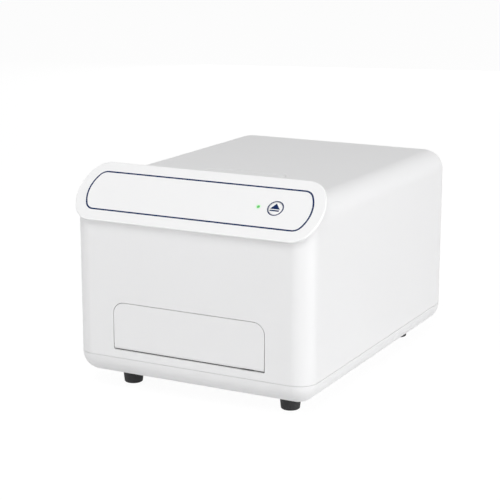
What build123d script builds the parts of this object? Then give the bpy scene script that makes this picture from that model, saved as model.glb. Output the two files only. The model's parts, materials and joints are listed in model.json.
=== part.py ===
from build123d import *

import os
from math import cos, radians, sin, sqrt

os.makedirs("parts", exist_ok=True)

# A bench-top microplate reader: a soft-cornered two-part casing on four rubber feet, a tilted
# fascia, and behind a drop-down door a belt-driven plate carrier under a filter-wheel optic.
# X runs to the right, Y to the back and Z up. "Depth" is the distance behind the front face.

# ---------------------------------------------------------------- microplate
PLATE_LENGTH = 127.76
PLATE_WIDTH = 85.48
WELL_PITCH = 9.0
COLUMNS = 12
WELL_RADIUS = 3.1

# ---------------------------------------------------------------- casing
BODY_WIDTH = 290.0
BODY_DEPTH = 405.0
BODY_TOP = 237.3
FOOT_HEIGHT = 20.5
PARTING_HEIGHT = 43.2
SEAM = 0.4
WALL = 3.0
FRONT_CORNER = 22.5
REAR_CORNER = 27.0
TOP_EDGE = 24.0
BOTTOM_EDGE = 21.5
LIP_THICKNESS = 1.5
LIP_HEIGHT = 4.0
LIP_GAP = 0.2

# ---------------------------------------------------------------- fascia
FASCIA_TILT = 45.0
FASCIA_DEPTH = 22.0
FASCIA_HEIGHT = 225.9
FASCIA_THICKNESS = 4.0
FASCIA_HALF_LENGTH = 149.8
FASCIA_HALF_WIDTH = 38.75
FASCIA_END_RADIUS = 51.7
FASCIA_CORNER = 25.1
FASCIA_EDGE = 1.4
PEG_RADIUS = 2.5
PEG_LENGTH = 6.0
PEG_X = 118.0
PEG_SLOPE = 20.0
BUTTON_X = 94.5
BUTTON_RADIUS = 7.6
BUTTON_GAP = 0.25
BUTTON_TRAVEL = 1.0
BUTTON_EDGE = 0.5
LIGHT_X = 74.4
LIGHT_RADIUS = 1.7
LIGHT_EDGE = 0.4

# ---------------------------------------------------------------- door
DOORWAY_WIDTH = 187.6
DOORWAY_TOP = 107.2
DOORWAY_BOTTOM = 52.3
DOORWAY_CORNER = 14.0
DOOR_GAP = 0.7
DOOR_THICKNESS = 3.0
HINGE_HEIGHT = 56.3
HINGE_RADIUS = 3.0
PIN_RADIUS = 1.0
PIN_RUNNING = 0.06
FRAME_GAP = 0.2
FRAME_THICKNESS = 6.0
FRAME_CLEAR_WIDTH = 180.0
FRAME_CLEAR_TOP = 104.0
FRAME_CLEAR_BOTTOM = 62.0

# ---------------------------------------------------------------- top hatch
HATCH_WIDTH = 100.0
HATCH_FRONT = 64.0
HATCH_BACK = 144.0
HATCH_CORNER = 10.0
HATCH_MOUTH_CORNER = 6.0
HATCH_EDGE = 0.4
HATCH_SKIRT_WALL = 1.5
HATCH_GAP = 0.35
HATCH_LEDGE = 6.0
HATCH_RECESS = 1.8
HATCH_SKIRT = 5.0
HATCH_RIM = 0.9

# ---------------------------------------------------------------- carrier and its drive
BENCH_TOP = 50.0
BENCH_THICKNESS = 6.0
BENCH_HALF_WIDTH = 112.0
BENCH_FRONT = 12.0
BENCH_BACK = 300.0
ROD_X = 66.0
ROD_HEIGHT = 62.0
ROD_RADIUS = 4.0
ROD_FRONT = 11.0
ROD_BACK = 292.0
ROD_BLOCK_DEPTH = 10.0
DECK_UNDERSIDE = 76.0
DECK_THICKNESS = 4.0
CARRIER_FRONT = 110.0
CARRIER_BACK = 275.0
CARRIER_HALF_WIDTH = 75.0
NEST_MARGIN = 6.0
NEST_CLEARANCE = 0.35
NEST_RECESS = 0.5
NEST_WALL = 3.0
NEST_WALL_HEIGHT = 5.0
SADDLE_FRONT = 241.0
SADDLE_LENGTH = 30.0
BUSHING_RADIUS = 7.5
BUSHING_LENGTH = 14.0
BUSHING_RUNNING = 0.04
BELT_X = 84.0
BELT_WIDTH = 6.0
BELT_THICKNESS = 1.3
PULLEY_RADIUS = 6.0
PULLEY_FLANGE = 8.5
PULLEY_TEETH = 20
IDLER_DEPTH = 20.0
DRIVE_DEPTH = 286.0
MOTOR_SIDE = 42.3
MOTOR_LENGTH = 34.0
MOTOR_FACE_X = 96.0

# ---------------------------------------------------------------- optics
READ_DEPTH = 127.5
HEAD_LENGTH = 108.0
HEAD_DEPTH = 23.0
HEAD_BOTTOM = 100.0
SHELF_UNDERSIDE = 124.0
SHELF_THICKNESS = 4.0
SHELF_FRONT = 60.0
SHELF_BACK = 245.0
WHEEL_HEIGHT = 178.0
WHEEL_RADIUS = 40.0
WHEEL_FRONT = 104.0
WHEEL_THICKNESS = 5.0
FILTER_COUNT = 8
FILTER_CIRCLE = 30.0
FILTER_RADIUS = 7.0
SPINDLE_RADIUS = 2.5
RUNNING = 0.05

# ---------------------------------------------------------------- back
CUTOUT_HALF_WIDTH = 108.0
CUTOUT_BOTTOM = 62.0
CUTOUT_TOP = 178.0
CUTOUT_CORNER = 8.0
PANEL_THICKNESS = 2.0
PANEL_MARGIN = 6.0
FAN_X = 60.0
FAN_HEIGHT = 140.0
FAN_SIDE = 60.0
FAN_DEPTH = 20.0
FAN_BORE = 28.0
INLET_X = -80.0
INLET_HEIGHT = 86.0
SWITCH_HEIGHT = 120.0
USB_X = -20.0

# ---------------------------------------------------------------- feet and fixings
FOOT_X = 100.0
FOOT_DEPTHS = (50.0, 361.0)
FOOT_TOP_RADIUS = 12.6
FOOT_BOTTOM_RADIUS = 10.4
FOOT_CHAMFER = 0.8
POST_X = 120.0
POST_DEPTHS = (24.0, 380.0)
POST_RADIUS = 5.0
BENCH_POST_X = 105.0
BENCH_POST_DEPTHS = (30.0, 252.0)
SHELF_POST_X = 100.0
SHELF_POST_DEPTHS = (72.0, 235.0)

# ---------------------------------------------------------------- screws and fits
SCREW_RADIUS = 1.95
THREAD_HOLE = 2.0
FREE_HOLE = 2.2
HEAD_RADIUS = 3.4
HEAD_HEIGHT = 2.6
SLIDE_FIT = 0.1
LOOSE_FIT = 0.4
JOIN = 1.0
ROUND = 0
SMALL_SIDES = 12
FILTER_SIDES = 24

# ---------------------------------------------------------------- derived places
tilt = radians(FASCIA_TILT)
# The fascia's rounded lower edge stands this far in front of the front face.
front_reach = FASCIA_HALF_WIDTH * cos(tilt) - FASCIA_DEPTH - FASCIA_EDGE * (sqrt(2) - 1)
centre_depth = (BODY_DEPTH - front_reach) / 2
cover_bottom = PARTING_HEIGHT + SEAM / 2
tray_top = PARTING_HEIGHT - SEAM / 2
floor_height = FOOT_HEIGHT + WALL
deck_top = DECK_UNDERSIDE + DECK_THICKNESS
nest_depth = CARRIER_FRONT + NEST_MARGIN + PLATE_WIDTH / 2
saddle_back = SADDLE_FRONT + SADDLE_LENGTH
shelf_top = SHELF_UNDERSIDE + SHELF_THICKNESS
bench_underside = BENCH_TOP - BENCH_THICKNESS
belt_inner = PULLEY_RADIUS + SLIDE_FIT
lip_root = tray_top - LIP_HEIGHT
lip_top = tray_top + LIP_HEIGHT
panel_back = BODY_DEPTH - WALL


def y_at(depth):
    """Y of a point that lies the given depth behind the front face."""
    return depth - centre_depth


def upright(depth):
    """Plane across the body facing the front: its x is X and its y is Z."""
    return Plane(origin=(0, y_at(depth), 0), x_dir=(1, 0, 0), z_dir=(0, -1, 0))


def sidelong(x):
    """Plane along the body facing right: its x is Y and its y is Z."""
    return Plane(origin=(x, 0, 0), x_dir=(0, 1, 0), z_dir=(1, 0, 0))


def mirrored(x, depths):
    """Level points at plus and minus x at each of the depths."""
    return [(side * x, y_at(depth)) for depth in depths for side in (-1, 1)]


def middle(low, high):
    """Number halfway between two."""
    return (low + high) / 2


def block(xs, depths, heights, mode=Mode.ADD):
    """Rectangular solid between two places on each axis, in the part being built."""
    with Locations((middle(*xs), y_at(middle(*depths)), middle(*heights))):
        Box(xs[1] - xs[0], depths[1] - depths[0], heights[1] - heights[0], mode=mode)


def column(points, radius, heights, mode=Mode.ADD, sides=ROUND):
    """Upright columns on level points between two heights, round unless they have sides."""
    with BuildSketch(Plane.XY.offset(heights[0])) as rounds:
        with Locations(*points):
            if sides == ROUND:
                Circle(radius)
            else:
                RegularPolygon(radius, sides)
    extrude(rounds.sketch, amount=heights[1] - heights[0], mode=mode)


def shaft(point, radius, depths, mode=Mode.ADD, sides=ROUND):
    """Bar along Y through an (x, z) point between two depths, round unless it has sides."""
    with BuildSketch(upright(depths[0])) as section:
        with Locations(point):
            if sides == ROUND:
                Circle(radius)
            else:
                RegularPolygon(radius, sides)
    extrude(section.sketch, amount=depths[0] - depths[1], mode=mode)


def axle(depth, height, radius, xs, mode=Mode.ADD):
    """Round bar along X at a depth and height between two x places."""
    with BuildSketch(sidelong(xs[0])) as section:
        with Locations((y_at(depth), height)):
            Circle(radius)
    extrude(section.sketch, amount=xs[1] - xs[0], mode=mode)


def write(piece, name):
    """Label a finished piece and write it to its own STEP file."""
    piece.part.label = name
    export_step(piece.part, f"parts/{name}.step")


fascia_face = Plane(
    origin=(0, y_at(FASCIA_DEPTH), FASCIA_HEIGHT),
    x_dir=(1, 0, 0),
    z_dir=(0, -sin(tilt), cos(tilt)),
)
fascia_seat = fascia_face.offset(-FASCIA_THICKNESS)


def body_plan(inset, height):
    """Rounded rectangle of the casing at a height, drawn in by inset."""
    with BuildSketch(Plane.XY.offset(height)) as plan:
        with Locations((0, y_at(BODY_DEPTH / 2))):
            Rectangle(BODY_WIDTH - 2 * inset, BODY_DEPTH - 2 * inset)
        fillet(plan.vertices().group_by(Axis.Y)[0], FRONT_CORNER - inset)
        fillet(plan.vertices().group_by(Axis.Y)[-1], REAR_CORNER - inset)
    return plan.sketch


def cover_form(inset):
    """Block of the cover with its round top edges and the slope that the fascia sits on."""
    with BuildPart() as form:
        extrude(body_plan(inset, cover_bottom), amount=BODY_TOP - inset - cover_bottom)
        fillet(form.faces().sort_by(Axis.Z)[-1].edges(), TOP_EDGE - inset)
        split(bisect_by=fascia_seat.offset(-inset), keep=Keep.BOTTOM)
    return form.part


def tray_form(inset):
    """Block of the tray with its round bottom edges."""
    with BuildPart() as form:
        tray_bottom = FOOT_HEIGHT + inset
        extrude(body_plan(inset, tray_bottom), amount=tray_top - tray_bottom)
        fillet(form.faces().sort_by(Axis.Z)[0].edges(), BOTTOM_EDGE - inset)
    return form.part


# ================================================================ casing
cover_outside = cover_form(0)
cover_inside = cover_form(WALL)
hatch_y = y_at(middle(HATCH_FRONT, HATCH_BACK))
hatch_depth = HATCH_BACK - HATCH_FRONT
button_places = [(BUTTON_X, 0)]
peg_places = [(sx * PEG_X, sy * PEG_SLOPE) for sx in (-1, 1) for sy in (-1, 1)]
cap_flange = BUTTON_RADIUS + 1.0
pocket_depth = 2.2
cover_post_top = cover_bottom + 32
cover_rib_top = cover_bottom + 26
cover_thread_top = cover_bottom + 20
rib_half = WALL / 2
doorway_foot_corner = 2.0
stem_radius = 1.7
ear_width = 5.0
ear_clear = 0.4
ear_front = 1.4
ear_reach = DOORWAY_WIDTH / 2 + ear_clear + ear_width
ear_half_height = HINGE_RADIUS + SLIDE_FIT
pocket_half_height = ear_half_height + FRAME_GAP

with BuildPart() as top_cover:
    add(cover_outside)
    add(cover_inside, mode=Mode.SUBTRACT)
    # screw columns on ribs at the side walls
    column(
        mirrored(POST_X, POST_DEPTHS), POST_RADIUS, (cover_bottom, cover_post_top), sides=SMALL_SIDES
    )
    for depth in POST_DEPTHS:
        for side in (-1, 1):
            rib = sorted((side * POST_X, side * (BODY_WIDTH / 2 - WALL / 2)))
            block(rib, (depth - rib_half, depth + rib_half), (lip_top + JOIN, cover_rib_top))
    column(
        mirrored(POST_X, POST_DEPTHS),
        THREAD_HOLE,
        (cover_bottom, cover_thread_top),
        Mode.SUBTRACT,
        SMALL_SIDES,
    )
    # doorway, with pockets for the hinge ears beside it
    with BuildSketch(upright(0)) as doorway:
        with Locations((0, middle(DOORWAY_BOTTOM, DOORWAY_TOP))):
            Rectangle(DOORWAY_WIDTH, DOORWAY_TOP - DOORWAY_BOTTOM)
        fillet(doorway.vertices().group_by(Axis.Y)[-1], DOORWAY_CORNER)
        fillet(doorway.vertices().group_by(Axis.Y)[0], doorway_foot_corner)
    extrude(amount=-2 * WALL, mode=Mode.SUBTRACT)
    block(
        (-ear_reach - FRAME_GAP, ear_reach + FRAME_GAP),
        (ear_front - FRAME_GAP, WALL),
        (HINGE_HEIGHT - pocket_half_height, HINGE_HEIGHT + pocket_half_height),
        Mode.SUBTRACT,
    )
    # holes of the fascia's pegs, its button and its light
    with BuildSketch(fascia_seat):
        with Locations(*peg_places):
            Circle(PEG_RADIUS + SLIDE_FIT)
        with Locations((LIGHT_X, 0)):
            Circle(LIGHT_RADIUS + LOOSE_FIT)
        with Locations(*button_places):
            Circle(stem_radius + LOOSE_FIT)
    extrude(amount=-2 * WALL, mode=Mode.SUBTRACT)
    with BuildSketch(fascia_seat):
        with Locations(*button_places):
            Circle(cap_flange + LOOSE_FIT)
    extrude(amount=-pocket_depth, mode=Mode.SUBTRACT)
    # recess and mouth of the hatch
    with BuildSketch(Plane.XY.offset(BODY_TOP)):
        with Locations((0, hatch_y)):
            RectangleRounded(HATCH_WIDTH, hatch_depth, HATCH_CORNER)
    extrude(amount=-HATCH_RECESS, mode=Mode.SUBTRACT)
    with BuildSketch(Plane.XY.offset(BODY_TOP)):
        with Locations((0, hatch_y)):
            RectangleRounded(
                HATCH_WIDTH + 2 * HATCH_RIM, hatch_depth + 2 * HATCH_RIM, HATCH_CORNER + HATCH_RIM
            )
    extrude(amount=-HATCH_RIM, taper=45, mode=Mode.SUBTRACT)
    with BuildSketch(Plane.XY.offset(BODY_TOP)):
        with Locations((0, hatch_y)):
            RectangleRounded(
                HATCH_WIDTH - 2 * HATCH_LEDGE, hatch_depth - 2 * HATCH_LEDGE, HATCH_MOUTH_CORNER
            )
    extrude(amount=-2 * WALL, mode=Mode.SUBTRACT)
    # cut-out for the rear panel
    with BuildSketch(upright(BODY_DEPTH)):
        with Locations((0, middle(CUTOUT_BOTTOM, CUTOUT_TOP))):
            RectangleRounded(2 * CUTOUT_HALF_WIDTH, CUTOUT_TOP - CUTOUT_BOTTOM, CUTOUT_CORNER)
    extrude(amount=2 * WALL, mode=Mode.SUBTRACT)
write(top_cover, "top_cover")

tray_outside = tray_form(0)
tray_inside = tray_form(WALL)
foot_places = mirrored(FOOT_X, FOOT_DEPTHS)
post_places = mirrored(POST_X, POST_DEPTHS)
supply_top = 60.0
supply_bottom = 30.0
supply_xs = (-108.0, -20.0)
supply_depths = (308.0, 376.0)
pad_inset = 9.0
pad_radius = 4.0
supply_pads = [
    (x, y_at(depth))
    for x in (supply_xs[0] + pad_inset, supply_xs[1] - pad_inset)
    for depth in (supply_depths[0] + pad_inset, supply_depths[1] - pad_inset)
]
board_x = 131.0
board_thickness = 1.6
guide_depths = (70.0, 230.0)
guide_wall = 4.0
guide_half = 5.0
guide_xs = (board_x - guide_wall, board_x + board_thickness + guide_wall)
guide_top = 36.0
board_bottom = 30.0
lip_bond = 0.5
tower_radius = POST_RADIUS + 1.5
boss_radius = 7.0
boss_top = floor_height + 5
head_bore = 4.2
head_seat = FOOT_HEIGHT + 12
vent_centre = (60.0, y_at(344.0))
vent_size = (4.0, 50.0)
vent_pitch = 12.0
vent_count = 6

# slotted guides for the main board, cut to the tray's round edge
with BuildPart() as board_guides:
    for depth in guide_depths:
        block(guide_xs, (depth - guide_half, depth + guide_half), (floor_height - JOIN, guide_top))
        block(
            (board_x, board_x + board_thickness),
            (depth - guide_half, depth + guide_half),
            (board_bottom, guide_top),
            Mode.SUBTRACT,
        )
    add(tray_form(WALL / 2), mode=Mode.INTERSECT)

with BuildPart() as base_tray:
    add(tray_outside)
    add(tray_inside, mode=Mode.SUBTRACT)
    # lip that locates the cover, thickened down to the wall below the seam
    extrude(body_plan(WALL - lip_bond, lip_root), amount=LIP_HEIGHT)
    extrude(body_plan(WALL + LIP_GAP, lip_root), amount=2 * LIP_HEIGHT)
    extrude(
        body_plan(WALL + LIP_GAP + LIP_THICKNESS, lip_root),
        amount=2 * LIP_HEIGHT,
        mode=Mode.SUBTRACT,
    )
    # screw towers, foot bosses, supply pads and ventilation slots
    column(post_places, tower_radius, (floor_height - JOIN, tray_top), sides=SMALL_SIDES)
    column(foot_places, boss_radius, (floor_height - JOIN, boss_top), sides=SMALL_SIDES)
    column(supply_pads, pad_radius, (floor_height - JOIN, supply_bottom), sides=SMALL_SIDES)
    column(post_places, FREE_HOLE, (FOOT_HEIGHT, tray_top), Mode.SUBTRACT, SMALL_SIDES)
    column(post_places, head_bore, (FOOT_HEIGHT, head_seat), Mode.SUBTRACT, SMALL_SIDES)
    column(foot_places, THREAD_HOLE, (FOOT_HEIGHT, boss_top), Mode.SUBTRACT, SMALL_SIDES)
    with BuildSketch(Plane.XY.offset(FOOT_HEIGHT)):
        with Locations(vent_centre):
            with GridLocations(vent_pitch, 0, vent_count, 1):
                Rectangle(*vent_size)
    extrude(amount=WALL, mode=Mode.SUBTRACT)
    add(board_guides.part)
write(base_tray, "base_tray")

with BuildPart() as cover_screws:
    column(
        post_places, SCREW_RADIUS, (head_seat, cover_thread_top - 2 * WALL), sides=SMALL_SIDES
    )
    column(post_places, HEAD_RADIUS, (head_seat - HEAD_HEIGHT, head_seat), sides=SMALL_SIDES)
write(cover_screws, "cover_screws")

foot_names = ("front_left_foot", "front_right_foot", "rear_left_foot", "rear_right_foot")
foot_recess = 14.0
foot_bore = 4.5
foot_head_radius = 3.6

for foot_name, place in zip(foot_names, foot_places):
    with BuildPart() as foot:
        with Locations((*place, FOOT_HEIGHT / 2)):
            Cone(FOOT_BOTTOM_RADIUS, FOOT_TOP_RADIUS, FOOT_HEIGHT)
        chamfer(foot.edges().group_by(Axis.Z)[0], FOOT_CHAMFER)
        column([place], THREAD_HOLE, (0, FOOT_HEIGHT), Mode.SUBTRACT, SMALL_SIDES)
        column([place], foot_bore, (0, foot_recess), Mode.SUBTRACT, SMALL_SIDES)
    write(foot, foot_name)

with BuildPart() as foot_screws:
    column(foot_places, SCREW_RADIUS, (foot_recess, boss_top - JOIN), sides=SMALL_SIDES)
    column(
        foot_places, foot_head_radius, (foot_recess - HEAD_HEIGHT, foot_recess), sides=SMALL_SIDES
    )
write(foot_screws, "foot_screws")


def fascia_outline():
    """Outline of the fascia: straight long edges between two bowed ends with round corners."""
    bow_centre = FASCIA_HALF_LENGTH - FASCIA_END_RADIUS
    corner_x = bow_centre + sqrt(FASCIA_END_RADIUS**2 - FASCIA_HALF_WIDTH**2)
    with BuildSketch(fascia_seat) as outline:
        with BuildLine():
            Line((-corner_x, FASCIA_HALF_WIDTH), (corner_x, FASCIA_HALF_WIDTH))
            ThreePointArc(
                (corner_x, FASCIA_HALF_WIDTH),
                (FASCIA_HALF_LENGTH, 0),
                (corner_x, -FASCIA_HALF_WIDTH),
            )
            Line((corner_x, -FASCIA_HALF_WIDTH), (-corner_x, -FASCIA_HALF_WIDTH))
            ThreePointArc(
                (-corner_x, -FASCIA_HALF_WIDTH),
                (-FASCIA_HALF_LENGTH, 0),
                (-corner_x, FASCIA_HALF_WIDTH),
            )
        make_face()
        fillet(outline.vertices(), FASCIA_CORNER)
    return outline.sketch


slope_up = Axis((0, 0, 0), tuple(fascia_face.z_dir))

with BuildPart() as fascia_plate:
    extrude(fascia_outline(), amount=FASCIA_THICKNESS)
    front_rim = fascia_plate.faces().sort_by(slope_up)[-1].edges()
    back_rim = fascia_plate.faces().sort_by(slope_up)[0].edges()
    fillet(front_rim, FASCIA_EDGE)
    chamfer(back_rim, FASCIA_EDGE)
    with BuildSketch(fascia_seat):
        with Locations(*peg_places):
            RegularPolygon(PEG_RADIUS, SMALL_SIDES)
    extrude(amount=-PEG_LENGTH)
    with BuildSketch(fascia_face):
        with Locations(*button_places):
            Circle(BUTTON_RADIUS + BUTTON_GAP)
        with Locations((LIGHT_X, 0)):
            Circle(LIGHT_RADIUS + SLIDE_FIT)
    extrude(amount=-FASCIA_THICKNESS, mode=Mode.SUBTRACT)
write(fascia_plate, "fascia_plate")

# ---- eject button, its switch board and the status light
keypad_stand = 5.0
keypad_drop = FASCIA_THICKNESS + WALL + keypad_stand
keypad_face = fascia_face.offset(-keypad_drop)
keypad_centre = (middle(LIGHT_X, BUTTON_X), 0)
switch_height = 4.2
switch_side = 6.0
flange_thickness = 1.0
plunger_length = switch_height - 2.0
cap_stem = keypad_drop - FASCIA_THICKNESS - switch_height + plunger_length - BUTTON_TRAVEL
keypad_size = (46.0, 22.0)
keypad_post_radius = 2.0
keypad_post_places = [(keypad_centre[0] + sx * 20, sy * 8) for sx in (-1, 1) for sy in (-1, 1)]
connector_size = (14.0, 5.0)
connector_height = 4.0

with BuildPart() as eject_button:
    with BuildSketch(fascia_seat):
        with Locations(*button_places):
            Circle(BUTTON_RADIUS)
    extrude(amount=FASCIA_THICKNESS)
    chamfer(eject_button.faces().sort_by(slope_up)[-1].edges(), BUTTON_EDGE)
    with BuildSketch(fascia_seat):
        with Locations(*button_places):
            Circle(cap_flange)
    extrude(amount=-flange_thickness)
    with BuildSketch(fascia_seat):
        with Locations(*button_places):
            Circle(stem_radius)
    extrude(amount=-cap_stem)
write(eject_button, "eject_button")

with BuildPart() as keypad_board:
    with BuildSketch(keypad_face):
        with Locations(keypad_centre):
            Rectangle(*keypad_size)
    extrude(amount=-board_thickness)
    with BuildSketch(keypad_face):
        with Locations(*button_places):
            Rectangle(switch_side, switch_side)
            Circle(stem_radius + RUNNING, mode=Mode.SUBTRACT)
    extrude(amount=switch_height)
    with BuildSketch(keypad_face):
        with Locations(*keypad_post_places):
            RegularPolygon(keypad_post_radius, SMALL_SIDES)
    extrude(amount=keypad_stand)
    with BuildSketch(keypad_face.offset(-board_thickness)):
        with Locations((keypad_centre[0], -connector_height)):
            Rectangle(*connector_size)
    extrude(amount=-connector_height)
write(keypad_board, "keypad_board")

with BuildPart() as status_light:
    with BuildSketch(keypad_face):
        with Locations((LIGHT_X, 0)):
            Circle(LIGHT_RADIUS)
    extrude(amount=keypad_drop)
    chamfer(status_light.faces().sort_by(slope_up)[-1].edges(), LIGHT_EDGE)
write(status_light, "status_light")

# ---- hatch in the top
with BuildPart() as access_cover:
    with BuildSketch(Plane.XY.offset(BODY_TOP)):
        with Locations((0, hatch_y)):
            RectangleRounded(
                HATCH_WIDTH - 2 * HATCH_GAP, hatch_depth - 2 * HATCH_GAP, HATCH_CORNER - HATCH_GAP
            )
    extrude(amount=-HATCH_RECESS)
    chamfer(access_cover.faces().sort_by(Axis.Z)[-1].edges(), HATCH_EDGE)
    skirt_inset = HATCH_LEDGE + HATCH_GAP
    skirt_corner = HATCH_MOUTH_CORNER - HATCH_GAP
    with BuildSketch(Plane.XY.offset(BODY_TOP - HATCH_RECESS)):
        with Locations((0, hatch_y)):
            RectangleRounded(
                HATCH_WIDTH - 2 * skirt_inset, hatch_depth - 2 * skirt_inset, skirt_corner
            )
            RectangleRounded(
                HATCH_WIDTH - 2 * skirt_inset - 2 * HATCH_SKIRT_WALL,
                hatch_depth - 2 * skirt_inset - 2 * HATCH_SKIRT_WALL,
                skirt_corner - HATCH_SKIRT_WALL,
                mode=Mode.SUBTRACT,
            )
    extrude(amount=-HATCH_SKIRT)
write(access_cover, "access_cover")

# ================================================================ door
leaf_half_width = DOORWAY_WIDTH / 2 - DOOR_GAP
frame_front = DOOR_THICKNESS + FRAME_GAP
frame_back = frame_front + FRAME_THICKNESS
pin_half_length = ear_reach - LOOSE_FIT
frame_bottom = 48.0
frame_top = DOORWAY_TOP + 8
frame_corner = 8.0
frame_width = DOORWAY_WIDTH + 18
barrel_gap = 0.5
spring_xs = (66.0, 80.0)
ear_xs = [
    sorted((side * (ear_reach - ear_width), side * ear_reach))
    for side in (-1, 1)
]

with BuildPart() as plate_door:
    with BuildSketch(upright(0)) as leaf:
        with Locations((0, middle(HINGE_HEIGHT, DOORWAY_TOP - DOOR_GAP))):
            Rectangle(2 * leaf_half_width, DOORWAY_TOP - DOOR_GAP - HINGE_HEIGHT)
        fillet(leaf.vertices().group_by(Axis.Y)[-1], DOORWAY_CORNER - DOOR_GAP)
    extrude(amount=-DOOR_THICKNESS)
    axle(DOOR_THICKNESS, HINGE_HEIGHT, HINGE_RADIUS, (-leaf_half_width, leaf_half_width))
    axle(
        DOOR_THICKNESS,
        HINGE_HEIGHT,
        PIN_RADIUS + PIN_RUNNING,
        (-leaf_half_width, leaf_half_width),
        Mode.SUBTRACT,
    )
    block(
        spring_xs,
        (PIN_RADIUS - SLIDE_FIT, 2 * HINGE_RADIUS + JOIN),
        (HINGE_HEIGHT - HINGE_RADIUS, HINGE_HEIGHT + HINGE_RADIUS),
        Mode.SUBTRACT,
    )
write(plate_door, "plate_door")

with BuildPart() as door_frame:
    with BuildSketch(upright(frame_front)) as surround:
        with Locations((0, middle(frame_bottom, frame_top))):
            RectangleRounded(frame_width, frame_top - frame_bottom, frame_corner)
    extrude(amount=-FRAME_THICKNESS)
    with BuildSketch(upright(frame_front)) as clear_way:
        with Locations((0, middle(FRAME_CLEAR_BOTTOM, FRAME_CLEAR_TOP))):
            Rectangle(FRAME_CLEAR_WIDTH, FRAME_CLEAR_TOP - FRAME_CLEAR_BOTTOM)
        fillet(clear_way.vertices().group_by(Axis.Y)[-1], DOORWAY_CORNER - WALL)
    extrude(amount=-FRAME_THICKNESS, mode=Mode.SUBTRACT)
    for ear in ear_xs:
        block(
            ear,
            (ear_front, frame_back),
            (HINGE_HEIGHT - ear_half_height, HINGE_HEIGHT + ear_half_height),
        )
    recess_reach = DOORWAY_WIDTH / 2 + ear_clear / 2
    axle(
        DOOR_THICKNESS,
        HINGE_HEIGHT,
        HINGE_RADIUS + barrel_gap,
        (-recess_reach, recess_reach),
        Mode.SUBTRACT,
    )
    axle(
        DOOR_THICKNESS, HINGE_HEIGHT, PIN_RADIUS, (-pin_half_length, pin_half_length), Mode.SUBTRACT
    )
write(door_frame, "door_frame")

with BuildPart() as door_pin:
    axle(DOOR_THICKNESS, HINGE_HEIGHT, PIN_RADIUS, (-pin_half_length, pin_half_length))
write(door_pin, "door_pin")

spring_turns = 4
wire_radius = 0.35
wire_sides = 4
coil_gap = 0.25
coil_radius = PIN_RADIUS + wire_radius + coil_gap
spring_end = 1.5
spring_start = spring_xs[0] + spring_end
spring_length = spring_xs[1] - spring_xs[0] - 2 * spring_end

with BuildPart() as door_spring:
    with BuildLine() as coil:
        Helix(
            spring_length / spring_turns,
            spring_length,
            coil_radius,
            center=(spring_start, y_at(DOOR_THICKNESS), HINGE_HEIGHT),
            direction=(1, 0, 0),
        )
    with BuildSketch(Plane(coil.line @ 0, z_dir=coil.line % 0)):
        RegularPolygon(wire_radius, wire_sides)
    sweep(is_frenet=True)
write(door_spring, "door_spring")

# ================================================================ bench
motor_notch_front = 262.0
motor_notch_x = 93.0
bench_corner = 4.0
bench_post_radius = 6.0
thread_depth = 12.0
screw_reach = 10.0
hexagon = 6
bench_post_places = mirrored(BENCH_POST_X, BENCH_POST_DEPTHS)
shelf_post_places = mirrored(SHELF_POST_X, SHELF_POST_DEPTHS)

with BuildPart() as bench_plate:
    with BuildSketch(Plane.XY.offset(bench_underside)) as plate_plan:
        with Locations((0, y_at(middle(BENCH_FRONT, BENCH_BACK)))):
            RectangleRounded(2 * BENCH_HALF_WIDTH, BENCH_BACK - BENCH_FRONT, bench_corner)
    extrude(amount=BENCH_THICKNESS)
    block(
        (motor_notch_x, BENCH_HALF_WIDTH + JOIN),
        (motor_notch_front, BENCH_BACK + JOIN),
        (bench_underside, BENCH_TOP),
        Mode.SUBTRACT,
    )
    column(bench_post_places, FREE_HOLE, (bench_underside, BENCH_TOP), Mode.SUBTRACT)
write(bench_plate, "bench_plate")

with BuildPart() as bench_posts:
    with BuildSketch(Plane.XY.offset(floor_height)):
        with Locations(*bench_post_places):
            RegularPolygon(bench_post_radius, hexagon)
    extrude(amount=bench_underside - floor_height)
    column(
        bench_post_places,
        THREAD_HOLE,
        (bench_underside - thread_depth, bench_underside),
        Mode.SUBTRACT,
        SMALL_SIDES,
    )
write(bench_posts, "bench_posts")

with BuildPart() as bench_screws:
    column(
        bench_post_places,
        SCREW_RADIUS,
        (bench_underside - screw_reach, BENCH_TOP),
        sides=SMALL_SIDES,
    )
    column(
        bench_post_places, HEAD_RADIUS, (BENCH_TOP, BENCH_TOP + HEAD_HEIGHT), sides=SMALL_SIDES
    )
write(bench_screws, "bench_screws")

rod_block_fronts = (ROD_FRONT, ROD_BACK - ROD_BLOCK_DEPTH)
rod_block_half = 12.0
rod_block_top = ROD_HEIGHT + 9.0
slit_width = 1.2

with BuildPart() as guide_rods:
    for side in (-1, 1):
        shaft((side * ROD_X, ROD_HEIGHT), ROD_RADIUS, (ROD_FRONT, ROD_BACK))
write(guide_rods, "guide_rods")

with BuildPart() as rod_blocks:
    for front in rod_block_fronts:
        with BuildSketch(upright(front)):
            for side in (-1, 1):
                with Locations((side * ROD_X, middle(BENCH_TOP, rod_block_top))):
                    Rectangle(2 * rod_block_half, rod_block_top - BENCH_TOP)
                with Locations((side * ROD_X, ROD_HEIGHT)):
                    Circle(ROD_RADIUS, mode=Mode.SUBTRACT)
                with Locations((side * ROD_X, middle(ROD_HEIGHT, rod_block_top + JOIN))):
                    Rectangle(slit_width, rod_block_top + JOIN - ROD_HEIGHT, mode=Mode.SUBTRACT)
        extrude(amount=-ROD_BLOCK_DEPTH)
write(rod_blocks, "rod_blocks")

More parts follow.
